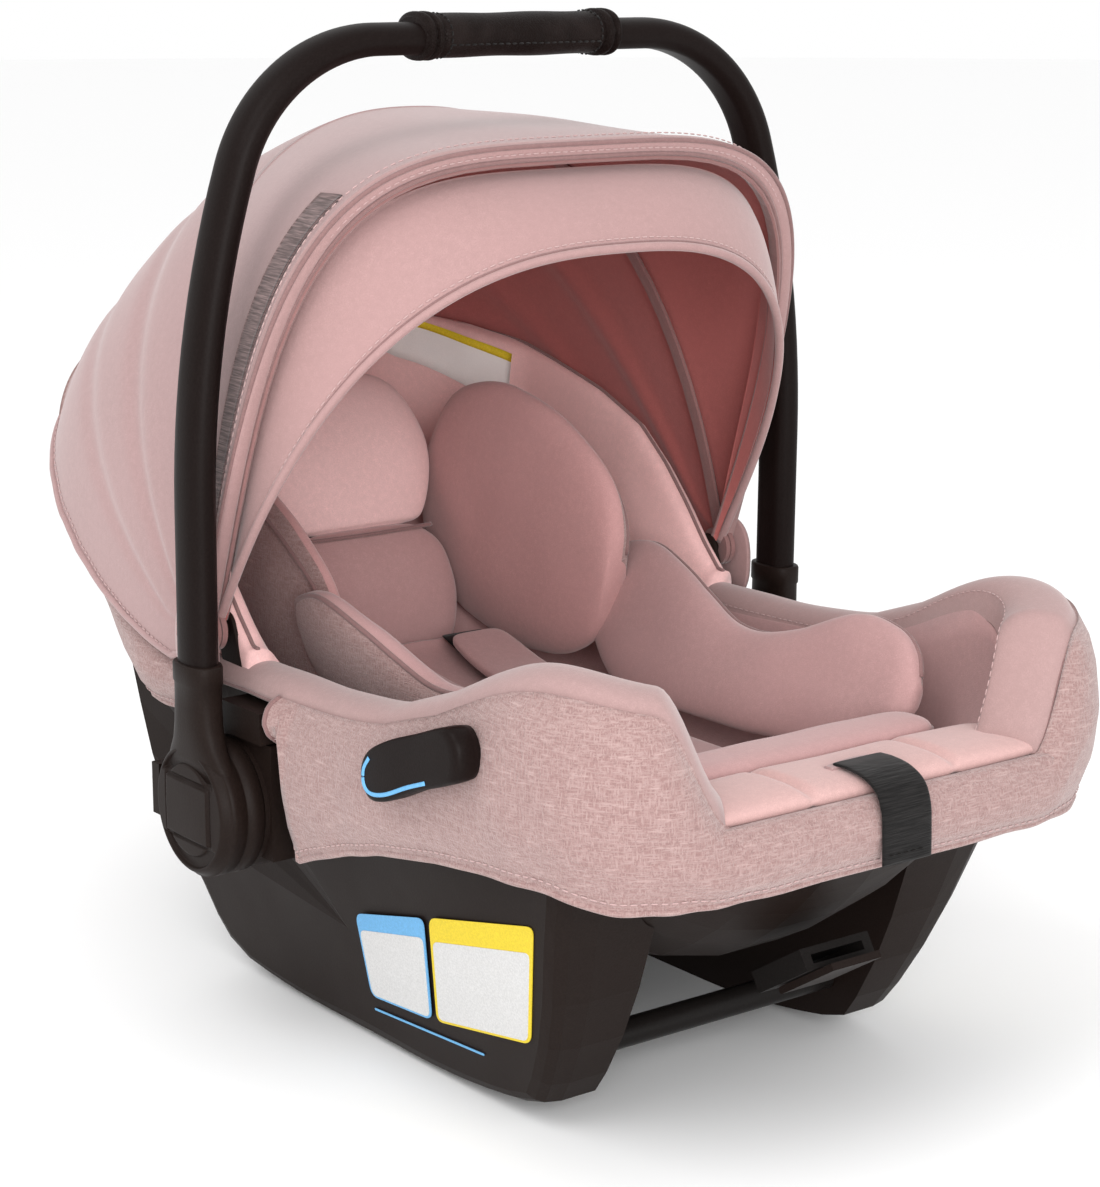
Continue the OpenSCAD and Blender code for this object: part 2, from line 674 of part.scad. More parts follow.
// Wing of the head pillow: an egg that stands forward beside the head
module head_wing() {
    for_wing = [for (t = [-90 : 22.5 : 90]) [sin(t), max(0.12, cos(t))]];
    skin([for (s = for_wing) let (c = [89, 116, 256] + [6, 88, 24] * s[0])
        oval(c, [1, 0.12, 0] / norm([1, 0.12, 0]), [0, -0.26, 0.966], 13 * (0.5 + s[1] / 2),
            (82 + 5 * s[0]) * pow(s[1], 0.8), 2.2, 20)]);
}
module head_wing_left() { color(smooth_pink) head_wing(); }
module head_wing_right() { color(smooth_pink) other_side() head_wing(); }

// ---- Harness ----

strap_w = 36;
strap_t = 1.6;

// Webbing along a path: the strap is flat, and its width lies along the side direction
module webbing_on(path, side, w = strap_w, t = strap_t) {
    skin([for (i = [0 : len(path) - 1])
        let (d = unit(path[min(i + 1, len(path) - 1)] - path[max(i - 1, 0)]),
            s = unit(side - d * (side * d)), u = cross(d, s))
        [for (k = [[-1, -1], [1, -1], [1, 1], [-1, 1]])
            path[i] + s * k[0] * w / 2 + u * k[1] * t / 2]]);
}
module harness_straps() {
    color(webbing) for (side = [0, 1]) mirror([side, 0, 0])
        webbing_on([[40, 118, 189], [39, 80, 176.5], [36, 40, 170], [31, 0, 169],
            [26, -40, 171.5], [25, -53, 173]], [1, 0, 0], 30);
}
module shoulder_pads() {
    color(smooth_pink) for (side = [0, 1]) mirror([side, 0, 0])
        skin([for (s = [[104, 191.5, 0.5], [98, 189.5, 0.9], [60, 179.5, 1], [20, 175, 1],
            [2, 174.5, 0.9], [-4, 174.5, 0.5]]) oval([37 - (60 - s[0]) * 0.06, s[0], s[1]],
            [1, 0, 0], [0, 0, 1], 22 * s[2], 3.5 * s[2], 4, 16)]);
}
module crotch_strap() {
    color(webbing) webbing_on([[0, strap_y, keel_z - 5], [0, strap_y, 120],
        [0, strap_y, 150], [0, strap_y, 178]], [1, 0, 0]);
}
// The buckle lies on the pad with its button up
module buckle_frame() {
    translate([0, -92, 174.5]) rotate([-86, 0, 0]) children();
}
module buckle() {
    color(plastic) buckle_frame() difference() {
        hull() for (x = [-17, 17], z = [-14, 16]) translate([x, 9, z]) rotate([90, 0, 0])
            cylinder(r = 7, h = 18, $fn = 32);
        translate([-9, -12, -12]) cube([18, 11, 20]);
        for (s = [-1, 1]) translate([s * 12 - 7, -2, 8]) cube([14, 4, 20]);
    }
}
module buckle_button() {
    color([0.65, 0.1, 0.1]) buckle_frame() translate([-8.6, -11, -11.6]) cube([17.2, 6.5, 19.2]);
}
module buckle_tongues() {
    color(steel) buckle_frame() for (s = [-1, 1])
        translate([s * 12 - 6, -1.2, 9]) cube([12, 2.4, 28]);
}

// Strap that tightens the harness: it leaves the lip's slot and hangs over the front
module adjuster_strap() {
    f = -front_reach;
    color(webbing) webbing_on([[0, f + 34, lip_z + 2], [0, f + 18, lip_z + 2.4],
        [0, f + 4, lip_z + 0.5], [0, f - 2, lip_z - 6], [0, f - 4.4, lip_z - 20],
        [0, f - 4.4, lip_z - 42]], [1, 0, 0], 34, 1.8);
}
module adjuster_housing() {
    color(steel) translate([0, -258, 92]) rotate([-32, 0, 0]) difference() {
        translate([-24, -22, -9]) cube([48, 44, 12]);
        translate([-18, -30, -6]) cube([36, 60, 5]);
    }
}
module adjuster_lever() {
    color(plastic) translate([0, -258, 92]) rotate([-32, 0, 0]) {
        translate([-17, -34, -13.5]) cube([34, 46, 4]);
        translate([-17, 12, -11.5]) rotate([0, 90, 0]) cylinder(r = 2, h = 34);
    }
}
module splitter_plate() {
    color(steel) translate([0, 60, 50]) difference() {
        translate([-22, -15, 0]) cube([44, 30, 3]);
        for (s = [-1, 1]) translate([s * 11 - 7, -8, -1]) cube([14, 5, 5]);
        translate([-14, 4, -1]) cube([28, 5, 5]);
    }
}

// ---- Small parts ----

// Release for the car base: a pull bar in a bezel on the back of the shell
release_y = 296;
release_z = 225;
module release_bezel() {
    color(plastic) translate([0, release_y - 8, release_z]) rotate([-22, 0, 0]) difference() {
        translate([-56, -9, -32]) cube([112, 16, 64]);
        translate([-48, -4, -24]) cube([96, 20, 48]);
    }
}
module release_handle() {
    color(plastic) translate([0, release_y - 8, release_z]) rotate([-22, 0, 0])
        translate([-46, -3.5, -23]) cube([92, 9, 22]);
}

// Cap over a belt guide on the side: tapered, and tilted up towards the knees
guide_at = [-179, 212];
guide_tilt = -17;
module guide_shape(grow = 0) {
    rotate(guide_tilt) offset(r = 8 + grow) polygon([[-28, -7], [27, -5], [27, 3], [13, 11],
        [-18, 10]]);
}
module belt_guide() {
    translate([half_w + 3.5, guide_at[0], guide_at[1]]) rotate([90, 0, 90]) {
        linear_extrude(10) guide_shape();
        translate([0, 0, 10]) linear_extrude(4) guide_shape(-2);
    }
}
module belt_guide_left() { color(plastic) belt_guide(); }
module belt_guide_right() { color(plastic) other_side() belt_guide(); }
module guide_trim() {
    color([0.4, 0.68, 0.85]) for (side = [0, 1]) mirror([side, 0, 0])
        translate([half_w + 13.7, guide_at[0], guide_at[1]]) rotate([90, 0, 90])
        linear_extrude(1) intersection() {
            difference() {
                guide_shape(0);
                guide_shape(-1.8);
            }
            translate([-60, -40]) square([92, 38]);
        }
}

// Two blank label panels side by side on each side wall, as corners in side view
label_corners = [[[-40, 86], [-114, 105], [-98, 38], [-36, 33]],
    [[-120, 107], [-222, 132], [-195, 56], [-103, 39]]];
module label_panels() {
    color("white") for (side = [0, 1], corners = label_corners) mirror([side, 0, 0])
        multmatrix([[0, wall_lean, 1, rail_half_w + 0.3], [1, 0, 0, 0], [0, 1, 0, 0],
            [0, 0, 0, 1]]) linear_extrude(0.6) polygon(corners);
}

bucket();
side_panel_right();
side_panel_left();
foam_liner();
front_bar();
rear_bar();
hub_mount_right();
hub_mount_left();
hub_pin_right();
hub_pin_left();
lock_gear_right();
lock_gear_left();
canopy_bracket_right();
canopy_bracket_left();
belt_guide_right();
belt_guide_left();
guide_trim();
skirt();
rim_band();
front_lip();
seat_cover();
insert_pad();
insert_bolster_right();
insert_bolster_left();
leg_roll();
head_pillow();
head_wing_right();
head_wing_left();
harness_straps();
shoulder_pads();
crotch_strap();
buckle();
buckle_tongues();
buckle_button();
adjuster_strap();
adjuster_housing();
adjuster_lever();
splitter_plate();
release_bezel();
release_handle();
label_panels();
mount_screws();
canopy_rear_panel();
handle_tube();
grip();
grip_rings();
hub_housing_right();
hub_housing_left();
hub_plate_right();
hub_plate_left();
hub_button_right();
hub_button_left();
button_springs();
rear_bow();
front_bow();
canopy_front_panel();
visor_bow();
visor();
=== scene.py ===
"""Infant car seat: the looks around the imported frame. Shapes are worked out in millimetres,
+Z up, the foot end at -Y, the child's right at -X, and become metres in mesh_from()."""
import json
import math

import bpy
import numpy as np
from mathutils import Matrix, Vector


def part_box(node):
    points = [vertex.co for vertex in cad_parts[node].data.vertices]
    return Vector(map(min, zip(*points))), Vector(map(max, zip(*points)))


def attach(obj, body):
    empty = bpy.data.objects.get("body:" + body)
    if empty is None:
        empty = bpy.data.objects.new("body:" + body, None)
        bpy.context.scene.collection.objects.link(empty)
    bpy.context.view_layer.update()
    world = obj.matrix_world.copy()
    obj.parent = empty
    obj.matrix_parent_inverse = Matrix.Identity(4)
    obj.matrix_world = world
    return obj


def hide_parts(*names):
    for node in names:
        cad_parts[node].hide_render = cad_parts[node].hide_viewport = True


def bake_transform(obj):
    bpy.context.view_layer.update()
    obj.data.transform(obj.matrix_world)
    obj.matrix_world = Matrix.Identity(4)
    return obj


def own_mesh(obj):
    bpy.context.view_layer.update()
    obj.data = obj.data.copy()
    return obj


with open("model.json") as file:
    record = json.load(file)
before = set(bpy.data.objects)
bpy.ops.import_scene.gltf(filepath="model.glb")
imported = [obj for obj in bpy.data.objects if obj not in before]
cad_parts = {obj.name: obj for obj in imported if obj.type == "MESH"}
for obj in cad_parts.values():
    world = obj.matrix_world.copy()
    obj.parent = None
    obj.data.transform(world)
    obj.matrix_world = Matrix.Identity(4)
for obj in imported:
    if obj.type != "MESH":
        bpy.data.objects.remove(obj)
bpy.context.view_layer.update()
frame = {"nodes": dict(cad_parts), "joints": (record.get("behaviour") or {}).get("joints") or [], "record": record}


# ---- Sizes from the frame, in millimetres ----

def box_mm(node):
    """Lowest and highest corner of a CAD node."""
    low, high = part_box(node)
    return np.array(low) * 1000, np.array(high) * 1000


def joint_mm(name):
    """Pivot of a joint."""
    joint = [j for j in frame["joints"] if j["name"] == name][0]
    return np.array(joint["pos_m"]) * 1000


SKIRT_LOW, SKIRT_HIGH = box_mm("skirt")
HALF_W = SKIRT_HIGH[0] - 3
FRONT = -SKIRT_LOW[1] - 3
HEAD = SKIRT_HIGH[1] + 1
_, HUB_Y, HUB_Z = joint_mm("handle_pivot")
_, CANOPY_Y, CANOPY_Z = joint_mm("canopy_rear_bow")

# The child's right is at -X.
SIDES = (-1, "right"), (1, "left")

# Rim: its lowest height, its rises at the knees and at the head, and the lip across the front.
RIM_LOW, KNEE_RISE, HEAD_RISE, LIP_Z = 222, 51, 163, 205
KNEE_Y, KNEE_WIDTH = -270, 103
HEAD_FROM, HEAD_POWER = 40, 1.9
LIP_HALF, LIP_BLEND, LIP_BACK_Y = 108, 42, -200

# Plan outline: straight sides between two superellipse ends.
FRONT_Y, REAR_Y = -127, 120
FRONT_N, REAR_N = 5, 3.3

# The bucket's rim lies below the cover's, and the bowl's lining inside the outline.
BUCKET_DOWN = 18
INNER_IN, INNER_LOW = 44.6, 122

# Canopy: half width, bow radius, and each bow's angle forward of straight up, in degrees.
CANOPY_HALF, CANOPY_R = 193, 286
FRONT_LEAN, REAR_LEAN, VISOR_LEAN = 20, -14, 32.5


# ---- Small functions ----

def smooth(v):
    """A soft step from 0 to 1."""
    c = np.clip(v, 0, 1)
    return c * c * (3 - 2 * c)


def mix(a, b, f):
    """a where f is 0, and b where it is 1."""
    return a + (b - a) * f


def bell(v, width):
    """1 at 0, falling off over the width."""
    return np.exp(-(np.asarray(v) / width) ** 2)


def oval(t, power, power_up=None):
    """Cosine and sine of t raised to a power with their signs kept: below 1 is squarer."""
    c, s = np.cos(t), np.sin(t)
    return (np.sign(c) * np.abs(c) ** power,
            np.sign(s) * np.abs(s) ** (power if power_up is None else power_up))


def turn(count):
    """Angles once round, without the last."""
    return np.linspace(0, 2 * np.pi, count, endpoint=False)


def oval_rings(centre, u, v, a, b, shape):
    """Rings round the centres: a and b are their half sizes along u and v."""
    c, s = shape
    return centre + u * (a * c)[..., None] + v * (b * s)[..., None]


def xyz(x, y, z):
    """Points from their coordinates, each an array or a single number."""
    return np.stack(np.broadcast_arrays(x, y, z), -1)


def ripple(points, size, seed, waves=7):
    """Smooth noise between about -1 and 1, the same on every run."""
    rng = np.random.default_rng(seed)
    total = np.zeros(points.shape[:-1])
    for _ in range(waves):
        direction = rng.normal(size=3)
        direction /= np.linalg.norm(direction)
        pitch = size * rng.uniform(0.6, 1.6)
        total += np.sin(points @ direction * 2 * np.pi / pitch + rng.uniform(0, 6.3))
    return total / math.sqrt(waves * 2)


def curve_through(points, count, closed=False):
    """count points on a smooth curve through the given points, or rings of points."""
    p = np.asarray(points, float)
    n = len(p)
    t = np.arange(count) * n / count if closed else np.linspace(0, n - 1, count)
    i = np.minimum(t.astype(int), n - 1 if closed else n - 2)
    f = (t - i).reshape((-1,) + (1,) * (p.ndim - 1))

    def at(k):
        if closed:
            return p[k % n]
        return np.where((k < 0).reshape(f.shape), 2 * p[0] - p[1],
                        np.where((k >= n).reshape(f.shape), 2 * p[-1] - p[-2],
                                 p[np.clip(k, 0, n - 1)]))
    a, b, c, d = at(i - 1), at(i), at(i + 1), at(i + 2)
    return 0.5 * (2 * b + (c - a) * f + (2 * a - 5 * b + 4 * c - d) * f ** 2
                  + (3 * b - a - 3 * c + d) * f ** 3)


def lengths_along(path):
    """Distance along the path to each of its points."""
    steps = np.linalg.norm(np.diff(path, axis=0), axis=1)
    return np.concatenate([[0], np.cumsum(steps)])


def even(path, spacing):
    """The same path with its points at an even spacing."""
    s = lengths_along(path)
    t = np.linspace(0, s[-1], max(3, int(s[-1] / spacing) + 1))
    return xyz(*(np.interp(t, s, k) for k in path.T))


# ---- Meshes ----

def mesh_from(name, points, faces, materials, body, marks=None):
    """An object from points in millimetres. marks gives each face's material index."""
    mesh = bpy.data.meshes.new(name)
    mesh.from_pydata((np.asarray(points) / 1000).tolist(), [], faces)
    mesh.polygons.foreach_set("use_smooth", [True] * len(mesh.polygons))
    for m in materials:
        mesh.materials.append(m)
    if marks is not None:
        mesh.polygons.foreach_set("material_index", marks)
    mesh.update()
    obj = bpy.data.objects.new(name, mesh)
    bpy.context.scene.collection.objects.link(obj)
    if body:
        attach(obj, body)
    return obj


def grid_faces(m, n, around=False, start=0):
    """Quads of a grid of m rows with n points. around joins each row's last point to its first."""
    faces = []
    for j in range(m - 1):
        for i in range(n if around else n - 1):
            k = (i + 1) % n
            faces.append((start + j * n + i, start + j * n + k,
                          start + (j + 1) * n + k, start + (j + 1) * n + i))
    return faces


def normals_of(rows):
    """Unit normal at each point of a grid."""
    du = np.gradient(rows, axis=0)
    dv = np.gradient(rows, axis=1)
    n = np.cross(du, dv)
    size = np.linalg.norm(n, axis=2, keepdims=True)
    return n / np.maximum(size, 1e-9)


def sheet_piece(name, rows, out, thick, materials, body="carrier"):
    """A closed thin sheet: the rows are its face towards out, and the other lies thick behind.
    The second material, if there is one, goes on the inner face."""
    m, n = rows.shape[:2]
    normal = normals_of(rows)
    flip = (normal * out).sum() < 0
    normal = -normal if flip else normal
    inner = rows - normal * thick
    points = np.concatenate([rows.reshape(-1, 3), inner.reshape(-1, 3)])
    outer_faces = grid_faces(m, n)
    inner_faces = [tuple(reversed(f)) for f in grid_faces(m, n, start=m * n)]
    rim = ([(j * n, (j + 1) * n) for j in range(m - 1)]
           + [((m - 1) * n + i, (m - 1) * n + i + 1) for i in range(n - 1)]
           + [(j * n + n - 1, (j - 1) * n + n - 1) for j in range(m - 1, 0, -1)]
           + [(i, i - 1) for i in range(n - 1, 0, -1)])
    rim_faces = [(a, a + m * n, b + m * n, b) for a, b in rim]
    faces = outer_faces + inner_faces + rim_faces
    if flip:
        faces = [tuple(reversed(f)) for f in faces]
    marks = None
    if len(materials) > 1:
        marks = [0] * len(outer_faces) + [1] * len(inner_faces) + [0] * len(rim_faces)
    return mesh_from(name, points, faces, materials, body, marks)


def ring_piece(name, rings, materials, body="carrier"):
    """A closed solid between rings, with a fan on each end."""
    rings = np.asarray(rings)
    m, n = rings.shape[:2]
    points = np.concatenate([rings.reshape(-1, 3), [rings[0].mean(0), rings[-1].mean(0)]])
    faces = grid_faces(m, n, around=True)
    faces += [((i + 1) % n, i, m * n) for i in range(n)]
    last = (m - 1) * n
    faces += [(last + i, last + (i + 1) % n, m * n + 1) for i in range(n)]
    centre = rings.mean(1)
    area = np.cross(rings[1] - centre[1], np.roll(rings[1], -1, 0) - centre[1]).sum(0)
    if area @ (centre[2] - centre[0]) > 0:
        faces = [tuple(reversed(f)) for f in faces]
    return mesh_from(name, points, faces, materials, body)


def frames_along(path, side):
    """Two unit directions across a path: u near side x direction, v near the side."""
    d = np.gradient(path, axis=0)
    d /= np.linalg.norm(d, axis=1, keepdims=True)
    side = np.broadcast_to(np.asarray(side, float), path.shape)
    u = np.cross(side, d)
    u /= np.maximum(np.linalg.norm(u, axis=1, keepdims=True), 1e-9)
    return u, np.cross(d, u)


def tube_rings(path, side, a, b, n=2, count=16):
    """Rings of superellipses along a path: a across u, b along the side direction."""
    u, v = frames_along(path, side)
    return oval_rings(path[:, None], u[:, None], v[:, None], a, b, oval(turn(count), 2 / n))


def cord_piece(name, path, radius, material, body="carrier"):
    """A round piping or thread along a path."""
    d = path[-1] - path[0]
    side = (0, 0, 1) if abs(d[2]) < 0.7 * np.linalg.norm(d) + 1 else (0, 1, 0)
    rings = tube_rings(path, side, radius, radius, count=10)
    return ring_piece(name, rings, [material], body)


def stitch_line(name, path, material, body="carrier", long=3.4, gap=1.6,
                radius=0.42):
    """A row of stitches: short rounded threads along a path."""
    s = lengths_along(path)
    points, faces = [], []
    ring = turn(5)
    for a in np.arange(gap, s[-1] - long, long + gap):
        at = xyz(*(np.interp([a, a + long], s, k) for k in path.T))
        d = at[1] - at[0]
        d /= np.linalg.norm(d)
        u = np.cross(d, (0.31, 0.47, 0.82))
        u /= np.linalg.norm(u)
        v = np.cross(d, u)
        base = len(points)
        for f, r in ((0, 0.45), (0.2, 1), (0.8, 1), (1, 0.45)):
            centre = at[0] + (at[1] - at[0]) * f
            points += [centre + (u * math.cos(q) + v * math.sin(q)) * r * radius for q in ring]
        faces += grid_faces(4, 5, around=True, start=base)
        faces += [tuple(base + i for i in reversed(range(5))),
                  tuple(base + 15 + i for i in range(5))]
    return mesh_from(name, points, faces, [material], body)


# ---- Materials ----

def put(tree, socket, value):
    """Sets a socket from a value, from a colour or from another socket."""
    if isinstance(value, bpy.types.NodeSocket):
        tree.links.new(value, socket)
    else:
        is_colour = socket.type == "RGBA" and len(value) == 3
        socket.default_value = (*value, 1) if is_colour else value


def node(tree, kind, **values):
    """A shader node: _name sets a property of its own, and Name sets a socket."""
    made = tree.nodes.new(kind)
    for key, value in values.items():
        if key.startswith("_"):
            setattr(made, key[1:], value)
        else:
            put(tree, made.inputs[key.replace("_", " ")], value)
    return made


def material(name, colour, roughness, **sockets):
    """A new material, its node tree, its shader, and the object's own coordinates."""
    made = bpy.data.materials.new(name)
    made.use_nodes = True
    tree = made.node_tree
    shader = tree.nodes["Principled BSDF"]
    sockets.update(Base_Color=colour, Roughness=roughness)
    for key, value in sockets.items():
        put(tree, shader.inputs[key.replace("_", " ")], value)
    place = tree.nodes.new("ShaderNodeTexCoord").outputs["Object"]
    return made, tree, shader, place


def surface(tree, shader, colour, height, strength, distance):
    """The shader's colour and its bump."""
    put(tree, shader.inputs["Base Color"], colour)
    made = node(tree, "ShaderNodeBump", Height=height, Strength=strength, Distance=distance)
    put(tree, shader.inputs["Normal"], made.outputs[0])


def noise(tree, place, scale, detail, rough=0.5):
    """Noise at a place, with its scale per metre."""
    return node(tree, "ShaderNodeTexNoise", Vector=place, Scale=scale, Detail=detail,
                Roughness=rough).outputs[0]


def threads(tree, place, scale, shift=(0, 0, 0)):
    """Noise stretched by a scale per axis, so that it reads as threads."""
    mapped = node(tree, "ShaderNodeMapping", Vector=place, Scale=scale, Location=shift)
    return noise(tree, mapped.outputs[0], 1.0, 2.0, 0.55)


def blend_colour(tree, factor, a, b):
    """Colour a where the factor is 0, and b where it is 1."""
    made = node(tree, "ShaderNodeMix", _data_type="RGBA")
    for index, value in ((0, factor), (6, a), (7, b)):
        put(tree, made.inputs[index], value)
    return made.outputs[2]


def ramp(tree, value, low, high, to_low=0.0, to_high=1.0):
    """The value mapped so that low becomes to_low and high becomes to_high."""
    return node(tree, "ShaderNodeMapRange", Value=value, From_Min=low, From_Max=high,
                To_Min=to_low, To_Max=to_high).outputs[0]


def times(tree, a, b, operation="MULTIPLY"):
    """The product of two values, or another operation on them."""
    made = node(tree, "ShaderNodeMath", _operation=operation)
    put(tree, made.inputs[0], a)
    put(tree, made.inputs[1], b)
    return made.outputs[0]


def tone(colour, k, plus=0.0):
    """The colour made lighter or darker."""
    return tuple(min(1, c * k + plus) for c in colour)


def knit(name, colour, depth=0.1):
    """Smooth fine knit with soft mottling and a fuzzy sheen."""
    made, tree, shader, place = material(name, colour, 0.92, Sheen_Weight=0.35,
                                         Sheen_Roughness=0.45, Specular_IOR_Level=0.18)
    fine = noise(tree, place, 1500.0, 1.0)
    cloth = noise(tree, place, 260.0, 3.0, 0.7)
    patch = noise(tree, place, 14.0, 2.0)
    speck = times(tree, ramp(tree, fine, 0.3, 0.7), ramp(tree, cloth, 0.25, 0.75))
    base = blend_colour(tree, speck, tone(colour, 1 - depth * 1.6), tone(colour, 1 + depth * 0.7))
    tint = tuple(c * k for c, k in zip(colour, (0.95, 0.93, 0.94)))
    base = blend_colour(tree, times(tree, ramp(tree, patch, 0.35, 0.75), 0.5), base, tint)
    surface(tree, shader, base, times(tree, fine, cloth, "ADD"), 0.22, 0.0006)
    return made


def heather(name, dark, light):
    """Slubby woven melange: lighter and darker threads that cross."""
    made, tree, shader, place = material(name, dark, 0.95, Sheen_Weight=0.3, Sheen_Roughness=0.5,
                                         Specular_IOR_Level=0.15)
    weft = threads(tree, place, (170, 170, 1250))
    warp = threads(tree, place, (1150, 1150, 190), (3, 5, 7))
    slub = threads(tree, place, (75, 75, 620), (11, 2, 9))
    cloth = noise(tree, place, 900.0, 1.0)
    crossing = times(tree, ramp(tree, weft, 0.42, 0.66), ramp(tree, warp, 0.42, 0.66), "MAXIMUM")
    base = blend_colour(tree, times(tree, crossing, 0.85), dark, light)
    slubs = times(tree, ramp(tree, slub, 0.6, 0.72), 0.7)
    base = blend_colour(tree, slubs, base, tone(light, 1.12))
    flecks = times(tree, ramp(tree, cloth, 0.58, 0.75), 0.6)
    base = blend_colour(tree, flecks, base, tone(dark, 0.78))
    height = times(tree, times(tree, weft, warp, "ADD"), cloth, "ADD")
    surface(tree, shader, base, height, 0.5, 0.0011)
    return made


def moulded(name, colour, roughness=0.48, specular=0.12):
    """Moulded plastic with a fine spark texture and faint wear in its gloss."""
    made, tree, shader, place = material(name, colour, roughness, Specular_IOR_Level=specular)
    fine = noise(tree, place, 900.0, 2.0)
    broad = noise(tree, place, 9.0, 3.0)
    gloss = ramp(tree, broad, 0.3, 0.7, roughness - 0.06, roughness + 0.08)
    put(tree, shader.inputs["Roughness"], gloss)
    base = blend_colour(tree, ramp(tree, fine, 0.35, 0.8), colour, tone(colour, 1.25, 0.002))
    surface(tree, shader, base, fine, 0.16, 0.0004)
    return made


def grained(name, colour):
    """Grained leatherette."""
    made, tree, shader, place = material(name, colour, 0.5, Specular_IOR_Level=0.09)
    cells = node(tree, "ShaderNodeTexVoronoi", Vector=place, Scale=620.0,
                 _feature="DISTANCE_TO_EDGE").outputs[0]
    broad = noise(tree, place, 60.0, 3.0)
    base = blend_colour(tree, ramp(tree, broad, 0.45, 0.8), colour, tone(colour, 1.6, 0.004))
    surface(tree, shader, base, ramp(tree, cells, 0.0, 0.12), 0.5, 0.0007)
    return made


def ribbed(name, colour):
    """Webbing: fine ribs across the strap."""
    made, tree, shader, place = material(name, colour, 0.62, Sheen_Weight=0.1,
                                         Specular_IOR_Level=0.1)
    weft = threads(tree, place, (60, 60, 1500))
    base = blend_colour(tree, ramp(tree, weft, 0.4, 0.7), colour, tone(colour, 2.6, 0.004))
    surface(tree, shader, base, weft, 0.6, 0.001)
    return made


def brushed(name, colour):
    """Brushed steel."""
    made, tree, shader, place = material(name, colour, 0.34, Metallic=1.0)
    lines = threads(tree, place, (12, 1400, 1400))
    put(tree, shader.inputs["Roughness"], ramp(tree, lines, 0.3, 0.7, 0.28, 0.44))
    surface(tree, shader, colour, lines, 0.1, 0.0002)
    return made


PINK = knit("canopy_knit", (0.405, 0.265, 0.26))
VISOR_KNIT = knit("visor_knit", (0.4, 0.248, 0.24))
BAND = knit("band_knit", (0.39, 0.255, 0.245))
LIP = knit("lip_knit", (0.58, 0.365, 0.345))
MAUVE = knit("insert_knit", (0.475, 0.285, 0.278))
WING = knit("wing_knit", (0.56, 0.31, 0.3))
PILLOW = knit("pillow_knit", (0.84, 0.56, 0.545))
LINING = knit("lining_knit", (0.42, 0.125, 0.115))
BOW_KNIT = knit("bow_knit", (0.27, 0.14, 0.133))
COLLAR = knit("collar_knit", (0.86, 0.53, 0.51))
EDGING = knit("edging_knit", (0.26, 0.15, 0.145), 0.16)
THREAD = knit("sewing_thread", (0.5, 0.34, 0.33), 0.05)
HEATHER = heather("heather_weave", (0.272, 0.163, 0.154), (0.395, 0.276, 0.261))
PLASTIC = moulded("hard_plastic", (0.0105, 0.006, 0.0047), specular=0.1)
HANDLE = moulded("handle_plastic", (0.0065, 0.0035, 0.003), 0.44, specular=0.08)
DARK = moulded("bow_plastic", (0.007, 0.0055, 0.005), 0.6)
STEEL = brushed("satin_steel", (0.30, 0.30, 0.31))
BAR = moulded("black_bar", (0.008, 0.0065, 0.006), 0.35)
LEATHER = grained("leatherette", (0.0065, 0.0032, 0.0026))
WEBBING = ribbed("webbing", (0.004, 0.0034, 0.0033))
MESH_GREY = ribbed("mesh_grey", (0.1, 0.07, 0.068))
RED = moulded("button_red", (0.42, 0.02, 0.018), 0.4)
BLUE = moulded("trim_blue", (0.13, 0.36, 0.62), 0.4)
YELLOW = moulded("label_yellow", (0.66, 0.5, 0.03), 0.4)
WHITE_FILM = moulded("label_film", (0.55, 0.545, 0.54), 0.4)
LABEL_CLOTH = knit("label_cloth", (0.86, 0.83, 0.8), 0.03)
FOAM = knit("bead_foam", (0.05, 0.05, 0.05), 0.04)

CAD_MATERIALS = {"hard_plastic": PLASTIC, "bow_plastic": DARK, "steel": STEEL,
                 "smooth_fabric": MAUVE, "heather_fabric": HEATHER, "foam": FOAM,
                 "webbing": WEBBING, "leatherette": LEATHER, "button_red": RED,
                 "trim_blue": BLUE, "label": WHITE_FILM}


def dress_cad_nodes():
    """Every carried-over CAD node takes the material of its slot."""
    for part in frame["record"]["subparts"]:
        target = frame["nodes"][part["node"]]
        chosen = CAD_MATERIALS[part["material_slot"]]
        if part["node"] in ("front_bar", "rear_bar"):
            chosen = BAR
        if part["node"] in ("front_bow", "rear_bow", "visor_bow"):
            chosen = BOW_KNIT
        if part["node"] == "adjuster_housing":
            chosen = DARK
        target.data.materials.clear()
        target.data.materials.append(chosen)


# ---- Outline and rim, the same curves as the frame's ----

def rim_side(y):
    """Height of the rim along the sides."""
    to_head = np.maximum(0, (y - HEAD_FROM) / (HEAD - HEAD_FROM))
    return RIM_LOW + KNEE_RISE * bell(y - KNEE_Y, KNEE_WIDTH) + HEAD_RISE * to_head ** HEAD_POWER


def rim_z(x, y):
    """Height of the rim anywhere: it drops to the lip across the front."""
    corner = mix(LIP_Z, rim_side(y), smooth((np.abs(x) - LIP_HALF) / LIP_BLEND))
    return np.where(y > LIP_BACK_Y, rim_side(y), corner)


def half_outline(o, t_first=90, t_last=90, counts=(46, 50, 56)):
    """The right half of the plan outline from foot to head, moved outward by o."""
    foot, sides, head = counts
    t = np.radians(t_first * (1 - np.arange(foot) / foot))
    a, b = HALF_W + o, FRONT + FRONT_Y + o
    first = np.stack([a * np.cos(t) ** (2 / FRONT_N), FRONT_Y - b * np.sin(t) ** (2 / FRONT_N)], 1)
    y = mix(FRONT_Y, REAR_Y, np.arange(sides) / sides)
    middle = np.stack([np.full(sides, a), y], 1)
    t = np.radians(t_last * np.arange(head + 1) / head)
    b = HEAD - REAR_Y + o
    last = np.stack([a * np.cos(t) ** (2 / REAR_N), REAR_Y + b * np.sin(t) ** (2 / REAR_N)], 1)
    return np.concatenate([first, middle, last])


